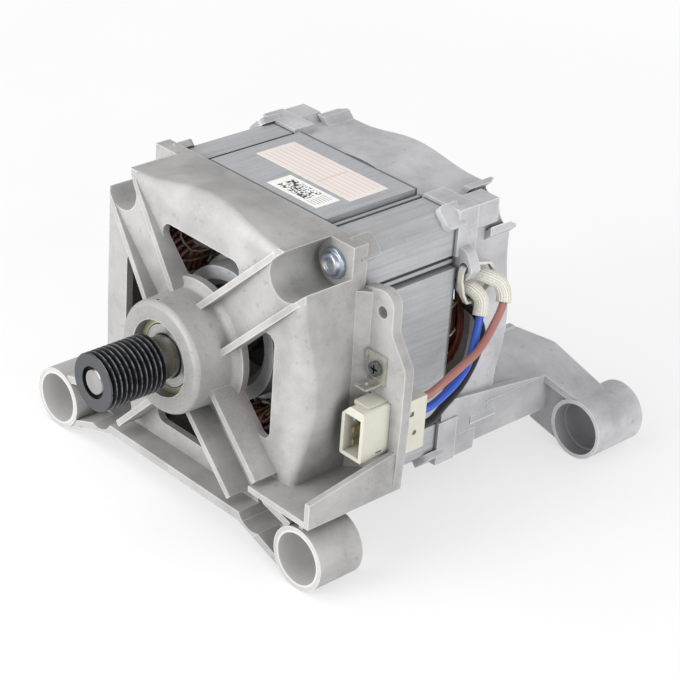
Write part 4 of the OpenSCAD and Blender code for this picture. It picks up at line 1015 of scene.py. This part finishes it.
class MOTOR_OT_labels(bpy.types.Operator):
    """Gives the two labels a plain film without words"""
    bl_idname = "motor.labels"
    bl_label = "Labels"

    def execute(self, context):
        low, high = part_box("rating_label")
        # Cream polyester film
        dress(plain_label("Cream label film", finishes().label, low, high, rows=8.0, rule=0.62,
                          ink=paint("#d9958d")).material, "rating_label")
        low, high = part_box("code_label")
        # White polyester film
        dress(code_film("White label film", paint("#f1f1ee"), low, high).material, "code_label")
        return {"FINISHED"}


# Stage

# Azimuth, height and roll of the camera in degrees, its place along its own axes from the
# middle of the stack's front face in metres, and its focal length in the picture's pixels
CAMERA_ANGLES = (45.03, 28.49, 4.23)
CAMERA_PLACE = (0.03205, -0.00717, 0.85192)
FOCAL_PIXELS, PHOTO_PIXELS = 2180.0, 680.0


def white_paper():
    """White paper: brighter only where it is seen directly or mirrored."""
    shadow_reach, white_from = 0.25, 0.8
    f = Finish("White paper", 0.0, 0.9)
    path = add(f.tree, "ShaderNodeLightPath").outputs
    seen = f.maths("MAXIMUM", path["Is Camera Ray"],
                   f.maths("MAXIMUM", path["Is Glossy Ray"], path["Is Transmission Ray"]))
    fibre = f.ramp(f.noise(8.0), [(0.3, paint("#f0f0f0")), (0.7, paint("#f6f6f6"))])
    f.tint(f.blend(seen, paint("#f2f2f2"), fibre))
    glow = add(f.tree, "ShaderNodeEmission", {"Color": (1.0, 1.0, 1.0, 1.0)})
    # The paper keeps its shadow near the motor and is plain white far from it
    away = add(f.tree, "ShaderNodeVectorMath", {0: f.place},
               operation="LENGTH").outputs["Value"]
    white = f.times(seen, f.between(away, shadow_reach, white_from, 0.6, 1.0))
    mixed = add(f.tree, "ShaderNodeMixShader",
                {0: white, 1: f.shader.outputs["BSDF"], 2: glow.outputs["Emission"]})
    f.tree.links.new(mixed.outputs["Shader"], f.tree.nodes["Material Output"].inputs["Surface"])
    return f.material


def lay_floor(height):
    """A sheet of paper six metres wide under the motor's feet."""
    half = 3.0
    mesh = bpy.data.meshes.new("floor")
    mesh.from_pydata([(x * half, y * half, height)
                      for x, y in ((-1, -1), (1, -1), (1, 1), (-1, 1))], [], [(0, 1, 2, 3)])
    mesh.materials.append(white_paper())
    placed("floor", mesh)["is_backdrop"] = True


def light_room(scene, sky):
    """Plain white surroundings, which the camera sees at full white."""
    world = bpy.data.worlds.new("Plain white room")
    world.use_nodes = True
    scene.world = world
    tree = world.node_tree
    back = tree.nodes["Background"]
    ray = add(tree, "ShaderNodeLightPath").outputs["Is Camera Ray"]
    strength = add(tree, "ShaderNodeMapRange",
                   {"Value": ray, "To Min": sky, "To Max": 1.0}).outputs["Result"]
    tree.links.new(strength, back.inputs["Strength"])
    back.inputs["Color"].default_value = (1.0, 1.0, 1.0, 1.0)


def hang_lamps(middle, key):
    """Soft round lamps: place from the motor's middle, width, and share of the key light."""
    for name, place, across, share in (("key lamp", (-0.4, -0.5, 0.9), 0.9, 0.8),
                                       ("front lamp", (-0.1, -1.1, 0.3), 0.8, 2.0),
                                       ("side lamp", (1.1, -0.1, 0.25), 0.8, 1.15)):
        data = bpy.data.lights.new(name, "AREA")
        data.shape = "DISK"
        data.size = across
        data.energy = key * share
        lamp = placed(name, data)
        lamp.location = middle + Vector(place)
        aim = middle - lamp.location
        lamp.rotation_euler = aim.to_track_quat("-Z", "Y").to_euler()


def set_camera(scene):
    """The camera stands where the photograph's perspective puts it."""
    azimuth, height, roll = (math.radians(a) for a in CAMERA_ANGLES)
    back = Vector((math.sin(azimuth) * math.cos(height),
                   -math.cos(azimuth) * math.cos(height), math.sin(height)))
    right = Vector((math.cos(azimuth), math.sin(azimuth), 0.0))
    up = back.cross(right)
    turned_right = right * math.cos(roll) + up * math.sin(roll)
    turned_up = up * math.cos(roll) - right * math.sin(roll)
    axes = Matrix((turned_right, turned_up, back)).transposed()
    centre = axes @ Vector(CAMERA_PLACE) + Vector((0.0, SHIFT, 0.0))
    data = bpy.data.cameras.new("camera")
    data.sensor_width = 36.0
    data.lens = data.sensor_width * FOCAL_PIXELS / PHOTO_PIXELS
    data.clip_start = 0.05
    camera = placed("camera", data)
    camera.matrix_world = Matrix.Translation(centre) @ axes.to_4x4()
    scene.camera = camera


class MOTOR_OT_stage(bpy.types.Operator):
    """Sets the floor, the soft lamps and the camera"""
    bl_idname = "motor.stage"
    bl_label = "Stage"

    def execute(self, context):
        scene = context.scene
        low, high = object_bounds()
        lay_floor(low[2])
        light_room(scene, scene.motor_stage.sky)
        middle = Vector([(a + b) / 2 for a, b in zip(low, high)])
        hang_lamps(middle, scene.motor_stage.key)
        set_camera(scene)
        scene.view_settings.view_transform = "Standard"
        return {"FINISHED"}


class MOTOR_PT_panel(bpy.types.Panel):
    """Lists the pieces of the motor"""
    bl_idname = "MOTOR_PT_panel"
    bl_label = "Motor"
    bl_space_type = "VIEW_3D"
    bl_region_type = "UI"
    bl_category = "Motor"

    def draw(self, context):
        for operator in OPERATORS:
            self.layout.operator(operator.bl_idname)
        for group in (context.scene.motor_finishes, context.scene.motor_sizes,
                      context.scene.motor_stage):
            box = self.layout.box()
            for name in group.__annotations__:
                box.prop(group, name)


OPERATORS = (
    MOTOR_OT_castings, MOTOR_OT_stator, MOTOR_OT_windings, MOTOR_OT_lacing, MOTOR_OT_rotor,
    MOTOR_OT_bearings, MOTOR_OT_bolts, MOTOR_OT_connector, MOTOR_OT_leads, MOTOR_OT_labels,
    MOTOR_OT_stage,
)
CLASSES = (MotorFinishes, MotorSizes, MotorStage, *OPERATORS, MOTOR_PT_panel)


def register():
    for item in CLASSES:
        bpy.utils.register_class(item)
    bpy.types.Scene.motor_finishes = bpy.props.PointerProperty(type=MotorFinishes)
    bpy.types.Scene.motor_sizes = bpy.props.PointerProperty(type=MotorSizes)
    bpy.types.Scene.motor_stage = bpy.props.PointerProperty(type=MotorStage)


def unregister():
    del bpy.types.Scene.motor_stage
    del bpy.types.Scene.motor_sizes
    del bpy.types.Scene.motor_finishes
    for item in reversed(CLASSES):
        bpy.utils.unregister_class(item)


def main():
    register()
    bpy.ops.motor.castings()
    bpy.ops.motor.stator()
    bpy.ops.motor.windings()
    bpy.ops.motor.lacing()
    bpy.ops.motor.rotor()
    bpy.ops.motor.bearings()
    bpy.ops.motor.bolts()
    bpy.ops.motor.connector()
    bpy.ops.motor.leads()
    bpy.ops.motor.labels()
    bpy.ops.motor.stage()


if __name__ == "__main__":
    main()
